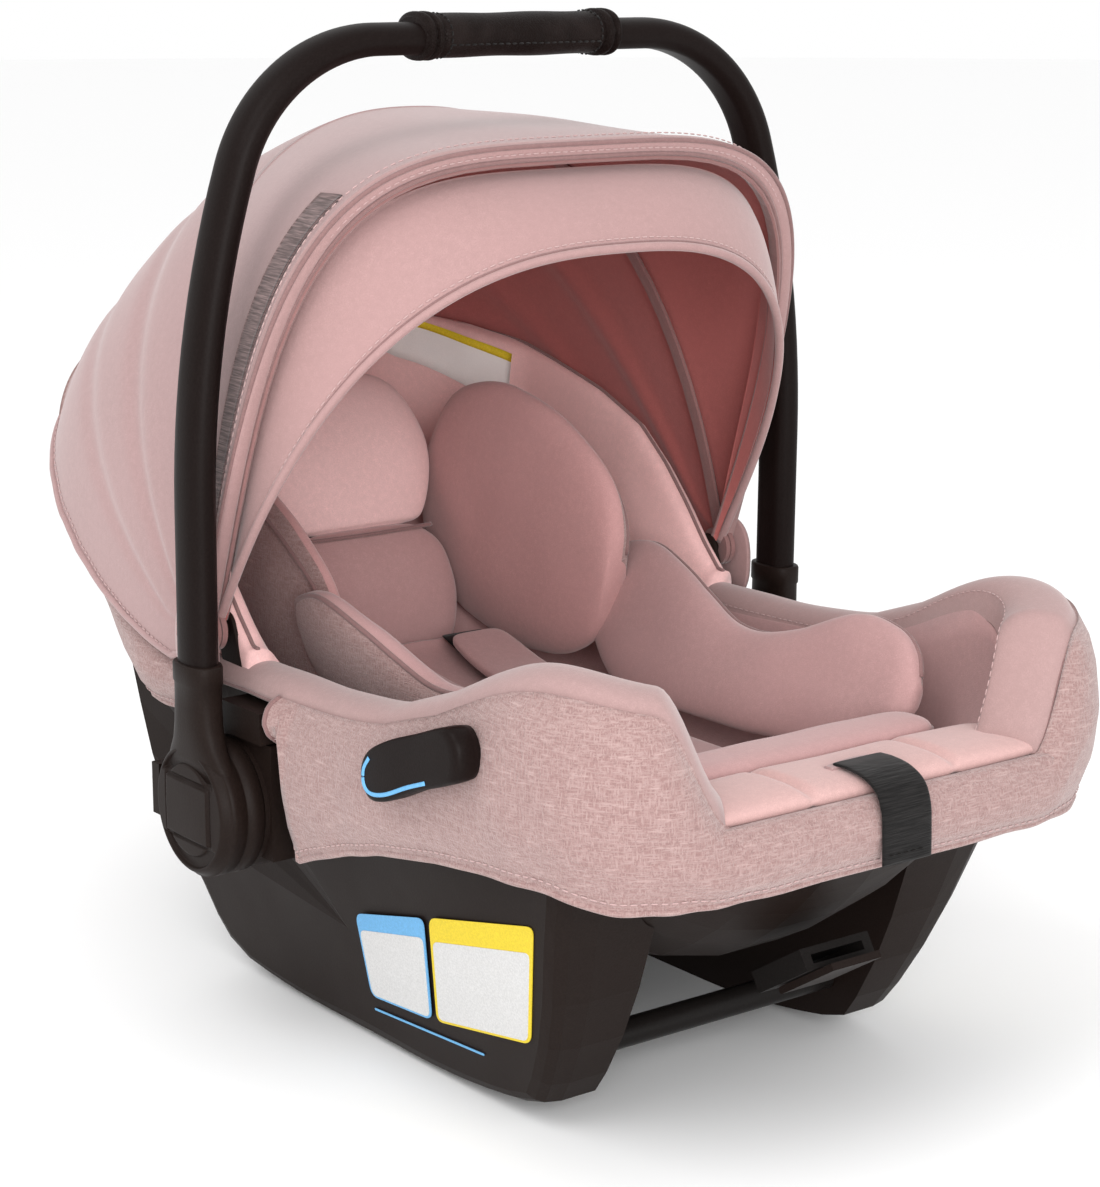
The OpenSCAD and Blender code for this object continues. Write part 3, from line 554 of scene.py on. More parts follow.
def outline(o):
    """The whole plan outline, moved outward by o."""
    h = half_outline(o)
    other = h[-2:0:-1] * (-1, 1)
    return np.concatenate([h, other])


def keel(y, inset, low):
    """Height of the bowl's middle line."""
    lip = LIP_Z - BUCKET_DOWN - 12 + (inset - 16) / 3
    head = RIM_LOW + HEAD_RISE - BUCKET_DOWN - 6 + (inset - 16) / 3
    foot = mix(low, lip, np.clip((-60 - y) / (-60 + FRONT - inset), 0, 1) ** 3.4)
    back = mix(low, head, np.clip((y + 60) / (HEAD - inset + 60), 0, 1) ** 4.1)
    return np.where(y < -60, foot, back)


def hem_z(x, y):
    """Height of the cover's hem: low at the hubs, and arched over the release handle."""
    x = np.abs(x)
    front = mix(160, 159, smooth((x - 60) / 80))
    side = 165 - 42 * np.maximum(0, (y + 264) / 224) ** 2.2 - 6 * smooth((-264 - y) / 36)
    back = mix(186, 180, (y - 50) / 172)
    head = mix(180, 285, smooth((178 - x) / 130))
    return np.where(y < -300, front, np.where(y < -40, side, np.where(y < 222, back, head)))


def tucked(x, y):
    """How far the cover turns in under the head end, from 0 to 1."""
    return smooth((y - 100) / 130) * mix(0.16, 1, smooth((np.abs(x) - 45) / 95))


# ---- Cover ----

def skirt_rows():
    """The skirt's outer face: a row from the rim down to the hem for every outline point."""
    falls = np.linspace(0, 1, 26)
    bulge = np.interp(falls, [0, 0.12, 0.25, 0.5, 0.75, 1], [-7.5, -2, 1, 3, 0.5, -7])
    x, y = outline(0).T
    top, hem = rim_z(x, y) - 8, hem_z(x, y)
    rows = []
    for f, b in zip(falls, bulge):
        q = mix(outline(b), outline(b - 50), (tucked(x, y) * f)[:, None])
        rows.append(xyz(q[:, 0], q[:, 1], mix(top, hem, f)))
    return np.stack(rows, 1)


SKIRT_FRONT_Y, SKIRT_REAR_Y = -30, 63


def make_skirt():
    """Two heather sheets, split at the hubs, each with a stitched hem."""
    rows = skirt_rows()
    count = len(rows)
    out = -normals_of(np.concatenate([rows, rows[:1]]))[:count]
    fall = np.linspace(0, 1, rows.shape[1])
    swell = ripple(rows, 90, 3) * 1.2 + ripple(rows, 38, 4) * 0.5
    place = np.arange(count)[:, None]
    pucker = np.sin(place * 0.9 + 1.5 * np.sin(place * 0.17))
    rows = rows + out * (swell * np.sin(np.pi * fall) + pucker * 0.45 * fall ** 3)[..., None]
    from_head = np.roll(rows, -(count // 2), axis=0)
    front = from_head[from_head[:, 0, 1] <= SKIRT_FRONT_Y]
    for edge in (front[0], front[-1]):
        edge[:, 1] = -34 + 7 * (edge[:, 2] - 100) / 106
    rear = rows[rows[:, 0, 1] >= SKIRT_REAR_Y]
    for name, part in (("skirt_front", front), ("skirt_rear", rear)):
        out = -normals_of(part)
        piece = sheet_piece(name, part, out, 2.4, [HEATHER, LINING])
        if name == "skirt_front":
            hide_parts("skirt")
        hem = even(part[:, -1], 2)
        cord_piece(name + "_hem", hem + (0, 0, 0.8), 1.9, HEATHER)
        up = part[:, -4] - part[:, -1]
        up /= np.linalg.norm(up, axis=1, keepdims=True)
        line = even(part[:, -1] + up * 6.5 + out[:, -2] * 0.5, 2)
        stitch_line(name + "_hem_stitch", line, THREAD)
        for edge, end in ((part[0], "a"), (part[-1], "b")):
            cord_piece(f"{name}_edge_{end}", even(edge, 2), 1.7, EDGING)


def band_section():
    """Section of the padded edge, as offsets from the outline and from the rim."""
    points = [(-9, -12), (-9.5, -7), (-13, -2), (-20, 0.8), (-29, 0.6), (-36, -3), (-40, -9),
              (-38, -14), (-24, -14.5)]
    return curve_through(points, 30, closed=True)


def make_rim_band():
    """The padded edge round the rim, open across the lip, with a seam and a row of stitches."""
    section = band_section()
    loops = np.stack([outline(s[0]) for s in section], 1)
    x, y = outline(0).T
    z = rim_z(x, y)[:, None] + section[:, 1]
    tuck = (section[:, 0] < -33) & (section[:, 1] < -8)
    z[:, tuck] = np.minimum(z, rim_z(loops[..., 0], loops[..., 1]) - 15)[:, tuck]
    rings = np.concatenate([loops, z[..., None]], 2)
    rings = rings[(np.abs(x) > 112) | (y > LIP_BACK_Y)]
    centre = rings.mean(1, keepdims=True)
    quilt = 1 + 0.05 * ripple(rings[:, :1], 70, 8)[..., None]
    rings = centre + (rings - centre) * quilt
    band = ring_piece("rim_band_pad", rings, [BAND])
    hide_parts("rim_band")
    seam = rings[:, 0] + (rings[:, 0] - centre[:, 0]) * 0.03
    cord_piece("rim_seam", even(seam, 2.5), 1.1, EDGING)
    stitch_line("rim_stitch", even(rings[:, 19] + (0, 0, 0.2), 2), THREAD, radius=0.35)


SEAT_COVER_THICK = 6.5


def make_seat_cover():
    """The lining of the bowl: its inner face, closed by an outer face behind it."""
    rings = []
    t = np.radians(np.linspace(0, 180, 57))
    for half, y in half_outline(-INNER_IN + 4, 76, 80, (40, 40, 44)):
        top = rim_z(half, y) - BUCKET_DOWN + 8
        deep = max(4, top - float(keel(y, INNER_IN, INNER_LOW)))
        c, s = oval(t, 2 / (3 * mix(1, 0.75, smooth((y - 100) / 80))))
        x, z = half * c, top - deep * s
        outer = xyz(x * (1 + SEAT_COVER_THICK / max(half, 30)), y, z - SEAT_COVER_THICK * np.sin(t))
        ring = np.concatenate([xyz(x, y, z), outer[::-1]])
        if y < LIP_BACK_Y:
            lip = rim_z(ring[:, 0], np.full(len(ring), -300.0)) - BUCKET_DOWN + 3
            ring[:, 2] = np.minimum(ring[:, 2], lip)
        rings.append(ring)
    rings = np.stack(rings)
    rings[..., 2] += ripple(rings, 80, 21)
    cover = ring_piece("seat_lining", rings, [MAUVE])
    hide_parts("seat_cover")


def make_front_lip():
    """The padded lip: one cushion with two sewn channels."""
    low, high = box_mm("front_lip")
    half = high[0] + 6
    c, s = oval(turn(28), 0.75, 0.85)
    middle_y, middle_z = (low[1] + high[1]) / 2, LIP_Z - 6
    rings = []
    for x in np.linspace(low[0] - 6, half, 150):
        taper = max(0.05, 1 - (abs(x) / half) ** 14)
        puff = 1 - 0.5 * float(bell(abs(x) - 49, 3.2)) - 0.06 * math.cos(x / 16)
        a = 27 * (0.9 + 0.1 * taper)
        b = 7.4 * puff * taper ** 0.6
        rings.append(xyz(x, middle_y + a * c, middle_z + b * s))
    lip = ring_piece("front_lip_pad", rings, [LIP])
    seam = xyz(np.linspace(-114, 114, 90), 8.5 - FRONT, LIP_Z - 12.5)
    cord_piece("lip_seam", seam, 5.5, HEATHER)
    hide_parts("front_lip")


# ---- Insert ----

def loft(name, stations, u, v, n, used, count=40, rows=90, bumps=1.0, seed=1, outer=None):
    """A soft solid: oval sections [centre, half width along u, half height along v].
    outer is the material of the side that faces u."""
    t = turn(count)
    data = curve_through([[*centre, a, b] for centre, a, b in stations], rows)
    half = np.maximum(data[:, 3:], 0.3)
    rings = oval_rings(data[:, None, :3], np.asarray(u, float), np.asarray(v, float),
                       half[:, :1], half[:, 1:], oval(t, 2 / n))
    out = rings - rings.mean(1, keepdims=True)
    size = np.maximum(np.linalg.norm(out, axis=2, keepdims=True), 1e-6)
    rings = rings + out / size * ripple(rings, 46, seed)[..., None] * bumps
    if outer is None:
        return ring_piece(name, rings, [used]), rings
    piece = ring_piece(name, rings, [used, outer])
    marks = [int(c > 0.3) for c in np.cos(t)] * (rows - 1) + [0] * (2 * count)
    piece.data.polygons.foreach_set("material_index", marks)
    return piece, rings


# [y, z, half width] along the pad's middle
INSERT_PAD = [(-205, 177, 40), (-190, 166, 62), (-150, 155, 72), (-60, 153, 76), (20, 154, 76),
              (70, 160, 72), (110, 171, 60), (122, 178, 45)]

# [y, z, half height, half thickness] along each bolster
BOLSTER = [(62, 222, 10, 4), (56, 220, 28, 8), (25, 211, 45, 11.5), (-15, 203, 41, 12.5),
           (-70, 192, 30, 12.5), (-120, 196, 32, 12.5), (-165, 206, 40, 11.5),
           (-195, 209, 36, 9.5), (-215, 209, 25, 8.5), (-225, 209, 8, 4)]
BOLSTER_LEAN = math.radians(19)

# [x, share of full size] along each leg roll
LEG_ROLL = [(-95, 0.3), (-91, 0.7), (-82, 0.95), (-60, 1), (0, 1), (60, 1), (82, 0.95), (91, 0.7),
            (95, 0.3)]

# [z, y, half width, half depth] up each panel of the head pillow
PILLOW_PANELS = {"lower": (MAUVE, [(166, 142, 30, 5), (172, 144, 44, 9), (190, 151, 57, 14),
                                   (212, 160, 62, 16), (233, 169, 59, 14.5), (247, 175, 46, 9),
                                   (251, 177, 30, 4)]),
                 "upper": (PILLOW, [(251, 176, 34, 4), (255, 178, 50, 9), (275, 187, 61, 15),
                                    (300, 198, 65, 17), (325, 210, 58, 14), (339, 217, 44, 9),
                                    (344, 220, 26, 4)])}
PILLOW_TILT = math.radians(25)


def make_insert_pad():
    """The insert's flat middle, with piping along both edges."""
    stations = [((0, y, z), half, 9.5) for y, z, half in INSERT_PAD]
    pad, rings = loft("insert_pad_soft", stations, (1, 0, 0), (0, 0, 1), 3, MAUVE, 56, 80, 0.6)
    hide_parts("insert_pad")
    for side in (0, 28):
        cord_piece(f"insert_piping_{side}", even(rings[4:-4, side], 3), 1.5, EDGING)


def make_bolster(side, word):
    """A side bolster, heather outside and knit inside, with piping along its top."""
    c, s = math.cos(BOLSTER_LEAN), math.sin(BOLSTER_LEAN)
    stations = [((side * (102 + (z - 200) * 0.3), y, z), thick, tall)
                for y, z, tall, thick in BOLSTER]
    piece, rings = loft(f"insert_bolster_{word}_soft", stations, (c * side, 0, -s),
                        (s * side, 0, c), 2.4, MAUVE, 48, 110, 0.7, seed=31, outer=HEATHER)
    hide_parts(f"insert_bolster_{word}")
    cord_piece(f"bolster_piping_{word}", even(rings[3:-3, 10], 3), 1.6, EDGING)


def make_leg_roll():
    """Two small rolls, one on the other, under the knees."""
    for layer in (0, 1):
        y, z = -242 + 3 * layer, 184 + 16 * layer
        stations = [((x, y, z), 18 * k, 7.6 * k) for x, k in LEG_ROLL]
        piece, rings = loft(f"leg_roll_{layer}", stations, (0, 1, 0), (0, 0, 1), 2.4, MAUVE, 36,
                            90, 0.6, seed=40 + layer)
        if layer == 0:
            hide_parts("leg_roll")
        cord_piece(f"leg_roll_piping_{layer}", even(rings[4:-4, 18], 3), 1.3, EDGING)


def make_head_pillow():
    """Two crowned panels one above the other, with a seam between them."""
    v = (0, math.cos(PILLOW_TILT), -math.sin(PILLOW_TILT))
    for index, (word, (used, panel)) in enumerate(PILLOW_PANELS.items()):
        stations = [((0, y, z), half, deep) for z, y, half, deep in panel]
        piece, _ = loft(f"head_pillow_{word}", stations, (1, 0, 0), v, 2.7, used, 56, 80, 0.8,
                        seed=50 + index)
        if index == 0:
            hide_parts("head_pillow")
    x = np.linspace(-50, 50, 60)
    cord_piece("pillow_seam", xyz(x, 162 + 0.0016 * x * x, 250.5), 1.3, EDGING)


# [centre x, thick, middle y, half length, middle z, rise, half height] of each wing
WINGS = {"left": (86, 17, 116, 88, 256, 24, 82), "right": (92, 11, 122, 80, 234, 30, 52)}


def make_head_wing(side, word):
    """A padded head wing, heather outside and knit inside, with piping round its edge."""
    cx, thick, cy, long, cz, rise, tall = WINGS[word]
    u = np.array([1, 0.12 * side, 0]) / math.hypot(1, 0.12)
    stations = []
    for a in np.linspace(-90, 90, 15):
        s, c = math.sin(math.radians(a)), max(0.06, math.cos(math.radians(a)))
        centre = (side * (cx - 7 * s), cy + long * s, cz + rise * s)
        stations.append((centre, thick * (0.5 + c / 2), (tall + 5 * s) * c ** 0.62))
    piece, rings = loft(f"head_wing_{word}_soft", stations, u * side, (0, -0.26, 0.966), 2.2,
                        WING, 56, 90, 0.9, seed=60, outer=HEATHER)
    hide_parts(f"head_wing_{word}")
    loop = np.concatenate([rings[3:-3, 8], rings[-4:2:-1, -8]])
    cord_piece(f"wing_piping_{word}", even(loop, 3), 1.5, EDGING)


# [y, z] along the collar's top
COLLAR_TOP = [(10, 222), (20, 229), (36, 246), (53, 267), (74, 289), (100, 310), (140, 327),
              (187, 341), (240, 356), (300, 372), (331, 378)]


def under_canopy(points, gap):
    """The points, drawn in where they come nearer than the gap to the canopy's fabric."""
    y, z = points[..., 1] - CANOPY_Y, points[..., 2] - CANOPY_Z
    r = np.hypot(y, z)
    lean = np.degrees(np.arctan2(-y, z))
    n = rear_exponent(lean)
    across = np.abs(points[..., 0]) / (CANOPY_HALF - gap)
    reach = (across ** n + (r / (REAR_R - gap)) ** n) ** (1 / n)
    k = 1 / np.maximum(reach, 1)
    return xyz(points[..., 0] * k, CANOPY_Y + y * k, CANOPY_Z + z * k)


def collar_rings():
    """Padded collar of the cover inside the canopy: it rises above the rim at the head."""
    section = [(-18, 0.2), (-13.5, 0.5), (-14.5, 0.93), (-20, 1), (-27, 0.96), (-33, 0.7),
               (-40, 0.38), (-47, 0.02), (-40, -0.08), (-28, -0.08)]
    section = curve_through(section, 40, closed=True)
    x, y = outline(0).T
    keep = y > 12
    x, y = x[keep], y[keep]
    further_in = 14 * smooth((y - 215) / 60)
    loops = []
    for q in section:
        loop, inner = outline(q[0])[keep], outline(q[0] - 14)[keep]
        share = further_in / 14 * float(smooth((-20 - q[0]) / 8))
        loops.append(mix(loop, inner, share[:, None]))
    loops = np.stack(loops, 1)
    rim = rim_z(x, y)
    top = np.interp(y, *zip(*COLLAR_TOP))
    z = mix(rim_z(loops[..., 0], loops[..., 1]) - 20, np.maximum(top, rim + 8)[:, None],
            section[:, 1])
    rings = np.concatenate([loops, z[..., None]], 2)
    rings[..., 2] += ripple(rings, 120, 15) * 1.5
    return under_canopy(rings, 5)


def make_collar():
    """The collar with its seam and a blank label, drawn in under the canopy's fabric."""
    rings = collar_rings()
    piece = ring_piece("cover_collar", rings, [COLLAR])
    edge = rings[:, 12] + (0, 0, 0.6)
    seam = cord_piece("collar_seam", even(edge, 3), 1.2, EDGING)
    patch = rings[34:86, 17:23]
    out = normals_of(patch)
    middle = np.array([0, 150, 300])
    out = out * np.sign((out * (middle - patch)).sum(2, keepdims=True))
    label = sheet_piece("collar_label", patch + out * 0.8, out, 0.5, [LABEL_CLOTH])
    header = sheet_piece("collar_label_header", patch[:, :2] + out[:, :2] * 1.4, out[:, :2], 0.5,
                         [YELLOW])
    for soft in (piece, seam, label, header):
        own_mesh(soft)


# ---- Canopy ----

# Exponents of the arches at the two bows and at the head end, and the angle to the head end
REAR_BOW_N, FRONT_BOW_N, HEAD_BOW_N = 2.3, 4, 4.6
REAR_SWEEP = 95
REAR_R = CANOPY_R + 4

# Each arch starts and ends this many degrees above the pivots, with this many points
LOW_ANGLE, COLUMNS = 1.2, 141
SAG = 12


def arch(half, r, n, count=COLUMNS):
    """Half of a superellipse in even polar steps: x across, r from the pivot line."""
    t = np.radians(np.linspace(LOW_ANGLE, 180 - LOW_ANGLE, count))
    c, s = np.cos(t), np.sin(t)
    size = (np.abs(c) ** n + np.abs(s) ** n) ** (-1 / n)
    return np.stack([half * c * size, r * s * size], 1)


def on_canopy(p, lean):
    """Points [x, r] of an arch turned by an angle about the canopy's pivots."""
    a = np.radians(lean)
    x, r = p[..., 0], p[..., 1]
    return xyz(x, CANOPY_Y - r * np.sin(a), CANOPY_Z + r * np.cos(a))


def rear_exponent(lean):
    """The rear fabric grows squarer from the bow to the head end."""
    return mix(REAR_BOW_N, HEAD_BOW_N, smooth((REAR_LEAN - lean) / REAR_SWEEP))


def rear_point(lean):
    """One line across the rear fabric, at an angle from straight up."""
    return on_canopy(arch(CANOPY_HALF, REAR_R, rear_exponent(lean)), lean)


def make_rear_cloth():
    """Fabric from the rear bow back and down to the rim, where each column stops."""
    leans = np.arange(REAR_LEAN - 0.8, -126, -0.5)
    every = np.stack([rear_point(a) for a in leans])
    low = rim_z(every[..., 0], np.minimum(every[..., 1], HEAD)) - 5
    under = every[..., 2] < low
    stop = np.maximum(np.where(under.any(0), under.argmax(0), len(leans) - 1), 2)
    share = np.linspace(0, 1, 64) ** 0.9
    rows = np.zeros((64, COLUMNS, 3))
    for i in range(COLUMNS):
        at = share * stop[i]
        rows[:, i] = xyz(*(np.interp(at, np.arange(len(leans)), k) for k in every[:, i].T))
    out = normals_of(rows)
    if (out[20, COLUMNS // 2] @ np.array([0, 0, 1.0])) < 0:
        out = -out
    f = share[:, None]
    across = np.linspace(-1, 1, COLUMNS)[None, :]
    swell = (ripple(rows, 150, 71) * 2.0 - 3.0 * bell(f - 0.36, 0.05)
             - 2.2 * bell(f - 0.66, 0.045)) * np.sin(np.pi * np.clip(f, 0, 1)) ** 0.5
    rows = rows + out * (swell * (1 - across ** 8))[..., None]
    piece = sheet_piece("canopy_rear_cloth", rows, out, 1.6, [PINK, LINING], None)
    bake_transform(piece)
    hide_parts("canopy_rear_panel")
    hem = rows[-1] + out[-1] * 0.6
    cord_piece("canopy_rear_piping", even(hem, 3), 2.0, PINK)
    stitch_line("canopy_rear_stitch", even(rows[-3] + out[-3] * 0.5, 2), THREAD)


def outward(rows):
    """Normals that point away from the canopy's pivot."""
    out = normals_of(rows)
    away = rows - np.array([0, CANOPY_Y, CANOPY_Z])
    sign = np.sign((out * away).sum(2, keepdims=True))
    return out * np.where(sign == 0, 1, sign)


def make_front_cloth():
    """Fabric between the rear and the front bow. It sags a little between them."""
    share = np.linspace(0, 1, 34)
    rows = []
    for f in share:
        shape = arch(CANOPY_HALF, mix(REAR_R, CANOPY_R, f) - SAG * math.sin(math.pi * f) ** 0.8,
                     mix(REAR_BOW_N, FRONT_BOW_N, f))
        rows.append(on_canopy(shape, mix(REAR_LEAN - 0.8, FRONT_LEAN, f)))
    rows = np.stack(rows)
    out = outward(rows)
    rows = rows + out * (ripple(rows, 110, 72) * 1.2 * np.sin(np.pi * share)[:, None])[..., None]
    piece = sheet_piece("canopy_front_cloth", rows, out, 1.6, [PINK, LINING], None)
    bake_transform(piece)
    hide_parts("canopy_front_panel")
    strip_rows = []
    for lean in np.linspace(12.5, 17.6, 8):
        f = (lean - REAR_LEAN) / (FRONT_LEAN - REAR_LEAN)
        shape = arch(CANOPY_HALF + 1.6, mix(REAR_R, CANOPY_R, f)
                     - SAG * math.sin(math.pi * f) ** 0.8 + 1.6, mix(REAR_BOW_N, FRONT_BOW_N, f))
        strip_rows.append(on_canopy(shape, lean))
    strip_rows = np.stack(strip_rows)
    for word, part in (("left", strip_rows[:, 6:40]), ("right", strip_rows[:, -40:-6])):
        sheet_piece(f"canopy_mesh_{word}", part, outward(part), 0.9, [MESH_GREY], "front_bow")


def bow_path(grow, lean):
    """A line beside the front bow, moved out by grow and turned by lean from it."""
    shape = arch(CANOPY_HALF + grow, CANOPY_R + grow, FRONT_BOW_N, count=241)
    return even(on_canopy(shape, FRONT_LEAN + lean), 3)


def make_bow_edge():
    """Padded edge over the front bow, with piping and two rows of stitches."""
    shape = arch(CANOPY_HALF - 3.4, CANOPY_R - 3.2, FRONT_BOW_N, count=241)
    path = even(on_canopy(shape, FRONT_LEAN), 3)
    along = (0, math.cos(math.radians(FRONT_LEAN)), math.sin(math.radians(FRONT_LEAN)))
    rings = tube_rings(path, along, 4.6, 4.2, 3, 20)
    ring_piece("bow_edge", rings, [VISOR_KNIT], "front_bow")
    cord_piece("bow_piping_outer", bow_path(0.6, 0.75), 1.5, EDGING, "front_bow")
    cord_piece("bow_piping_inner", bow_path(-7.4, 0.8), 1.3, EDGING, "front_bow")
    stitch_line("bow_stitch_front", even(bow_path(-3.6, 0.92), 2), THREAD, "front_bow")
    stitch_line("bow_stitch_top", even(bow_path(1.1, -1.1), 2), THREAD, "front_bow")


# Half width, radius and exponent of the visor at its root and at its free edge
VISOR_ROOT_HALF, VISOR_ROOT_R = 179, 268.5
VISOR_HALF, VISOR_R, VISOR_N = 184, 253, 2.6


def visor_rows(grow=0.0):
    """The visor's outer face, from its root at the front bow to its free edge."""
    rows = []
    for f in np.linspace(0, 1, 26):
        p = arch(VISOR_ROOT_HALF + grow, VISOR_ROOT_R + grow, FRONT_BOW_N)
        q = arch(VISOR_HALF + grow, VISOR_R + grow, VISOR_N)
        shape = mix(p, q, f)
        bulge = 1 + 0.016 * math.sin(math.pi * f)
        rows.append(on_canopy(shape * (1, bulge), mix(FRONT_LEAN - 1, VISOR_LEAN, f)))
    return np.stack(rows)


def make_visor():
    """The padded visor with a bound edge, a row of stitches and a facing inside."""
    rows = visor_rows()
    out = outward(rows)
    f = np.linspace(0, 1, len(rows))[:, None]
    rows = rows + out * (ripple(rows, 100, 81) * 0.9 * np.sin(np.pi * f))[..., None]
    piece = sheet_piece("visor_cloth", rows, out, 2.2, [VISOR_KNIT, LINING], "visor")
    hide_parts("visor", "visor_bow")
    edge = even(rows[-1] - out[-1] * 1.1, 3)
    cord_piece("visor_binding", edge, 2.7, VISOR_KNIT, "visor")
    stitch_line("visor_stitch", even(rows[-3] + out[-3] * 0.3, 2), THREAD, "visor")
    cord_piece("visor_seam", even(rows[-2] + out[-2] * 0.1, 3), 0.7, EDGING, "visor")
    facing = visor_rows(-3.4)[10:24]
    sheet_piece("visor_facing", facing, outward(facing), 0.8, [LINING], "visor")
    cord_piece("visor_facing_seam", even(facing[0], 3), 1.0, EDGING, "visor")


TAB_HALF_Y, TAB_HALF_Z = 22, 27


def tab_loop(x, half_y, half_z, t):
    """A rounded loop round the canopy's pivot."""
    c, s = oval(t, 0.8)
    return xyz(x, CANOPY_Y + 2 + half_y * c, CANOPY_Z - 8 + half_z * s)


def make_pivot_tabs():
    """Rounded fabric tab over each canopy pivot."""
    profile = (192.6, 0.97), (193.2, 1), (195, 1), (196.2, 0.97), (196.7, 0.8)
    for side, word in SIDES:
        rings = [tab_loop(side * x, TAB_HALF_Y * k, TAB_HALF_Z * k, turn(40)) for x, k in profile]
        piece = ring_piece(f"pivot_tab_{word}", rings, [VISOR_KNIT])
        edge = tab_loop(side * 196.4, TAB_HALF_Y - 2.5, TAB_HALF_Z - 2.5, np.append(turn(40), 0))
        stitch_line(f"pivot_tab_stitch_{word}", even(edge, 2), THREAD)


# ---- Handle ----

# Half width at the hubs, height of the straight legs and of the top, and the side's long arc
HANDLE_X, LEG_TOP, HANDLE_R = 210.5, 170, 418
BEND_R, BEND_ANGLE = 600, 17.75
HANDLE_LEAN = math.radians(1)
TUBE_X, TUBE_Y, TUBE_N = 18, 28, 2.3
ACROSS = np.array([0, math.cos(HANDLE_LEAN), math.sin(HANDLE_LEAN)])
HANDLE_UP = np.array([0, -math.sin(HANDLE_LEAN), math.cos(HANDLE_LEAN)])


def handle_half():
    """[x, r] from the hub to the top: a straight leg, a long arc and a tight arc."""
    a = math.radians(BEND_ANGLE)
    h = np.linspace(0, a, 14)[1:]
    first = np.stack([HANDLE_X - BEND_R * (1 - np.cos(h)), LEG_TOP + BEND_R * np.sin(h)], 1)
    tight = (HANDLE_R - LEG_TOP - BEND_R * math.sin(a)) / (1 - math.sin(a))
    h = np.linspace(a, math.pi / 2, 30)[1:]
    second = first[-1] + np.stack([-tight * (math.cos(a) - np.cos(h)),
                                   tight * (np.sin(h) - math.sin(a))], 1)
    legs = [(HANDLE_X, r) for r in np.linspace(58, LEG_TOP, 9)]
    top = [(x, second[-1][1]) for x in np.linspace(second[-1][0], 0, 8)[1:]]
    return np.concatenate([legs, first, second, top])


def on_handle(x, r):
    """The place x across and r up the leaning handle from its hubs."""
    return xyz(x, HUB_Y - r * math.sin(HANDLE_LEAN), HUB_Z + r * math.cos(HANDLE_LEAN))


def make_handle():
    """The bent tube, with two faint ridges along it."""
    half = handle_half()
    path = np.concatenate([on_handle(*half.T), on_handle(*(half[-2::-1] * (-1, 1)).T)])
    rings = tube_rings(path, ACROSS, TUBE_X / 2, TUBE_Y / 2, TUBE_N, 36)
    ridge = np.zeros(36)
    ridge[14:17] = ridge[20:23] = (0.35, 0.8, 0.35)
    out = rings - rings.mean(1, keepdims=True)
    rings = rings + out / np.linalg.norm(out, axis=2, keepdims=True) * ridge[None, :, None]
    tube = ring_piece("handle_tube_smooth", rings, [HANDLE], "handle")
    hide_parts("handle_tube")


def sleeve_rings(x0, x1, count, thick_at):
    """Rings round the top of the handle from x0 to x1, thick_at(x) outside the tube."""
    xs = np.linspace(x0, x1, count)
    path = on_handle(xs, handle_half()[-1][1] + 1.2)
    thick = np.array([thick_at(x) for x in xs])[:, None]
    c, s = oval(turn(40), 2 / TUBE_N)
    return oval_rings(path[:, None], HANDLE_UP, ACROSS, TUBE_X / 2 + thick, TUBE_Y / 2 + thick,
                      (s, c))


def grip_thick(x):
    """The leather over the grip, with a groove near each end."""
    return 3.2 - 1.6 * float(bell(abs(x) - 57, 2.5)) + 0.25 * math.sin(x / 9)


def grip_ring_thick(x):
    """The end ring of the grip, with one groove in its middle and one at its outer edge."""
    from_middle = abs(abs(x) - 62)
    return 4.6 - 2.2 * float(bell(from_middle, 1.1)) - 3.2 * float(bell(from_middle - 6, 1.5))


def grip_seam_thick(_):
    """Where the stitches lie, just outside the leather."""
    return 3.5


def make_grip():
    """Leather grip with an end ring on either side and rows of stitches."""
    rings = sleeve_rings(-57, 57, 90, grip_thick)
    grip = ring_piece("grip_leather", rings, [LEATHER], "handle")
    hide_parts("grip")
    for side, word in SIDES:
        rings = sleeve_rings(side * 56, side * 68, 40, grip_ring_thick)
        piece = ring_piece(f"grip_ring_{word}", rings, [LEATHER], "handle")
        if side < 0:
            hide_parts("grip_rings")
    seam = sleeve_rings(-54, 54, 60, grip_seam_thick)
    for word, index in (("front", 22), ("rear", 38)):
        stitch_line(f"grip_stitch_{word}", even(seam[:, index], 2), WEBBING, "handle",
                    long=3, gap=1.6, radius=0.5)
    for side, word in SIDES:
        loop = sleeve_rings(side * 52, side * 52.6, 3, grip_seam_thick)[1]
        stitch_line(f"grip_end_stitch_{word}", even(np.concatenate([loop, loop[:1]]), 1.5),
                    WEBBING, "handle", long=2.6, gap=1.4, radius=0.45)


# ---- Hubs, guides and labels ----

HUB_R, HUB_IN = 39, 192


def hub_relief(y, z):
    """How far each point of the hub's face stands out: a plate between two crescents."""
    r = np.hypot(y, z)
    dome = -1.6 * (r / HUB_R) ** 2 - 5.2 * smooth((r - 33.5) / 5.5) ** 1.5
    crescent = smooth((r - 25.5) / 1.5) * smooth((33.5 - r) / 1.5) * smooth((np.abs(z) - 17.5) / 2)
    plate = smooth((22.8 - np.abs(y)) / 1.0) * smooth((16.8 - np.abs(z)) / 1.0)
    groove = (smooth((24.6 - np.abs(y)) / 1.0) * smooth((18.6 - np.abs(z)) / 1.0)) * (1 - plate)
    return 27.4 + dome - 2.4 * crescent + 1.0 * plate - 1.2 * groove


def hub_ring(side, x, r):
    """A ring of the disc. Without x it lies on the face, with the relief."""
    t = turn(200)
    y, z = r * np.cos(t), r * np.sin(t)
    x = hub_relief(y, z) if x is None else x
    return xyz(side * (HUB_IN + x), HUB_Y + y, HUB_Z + z)


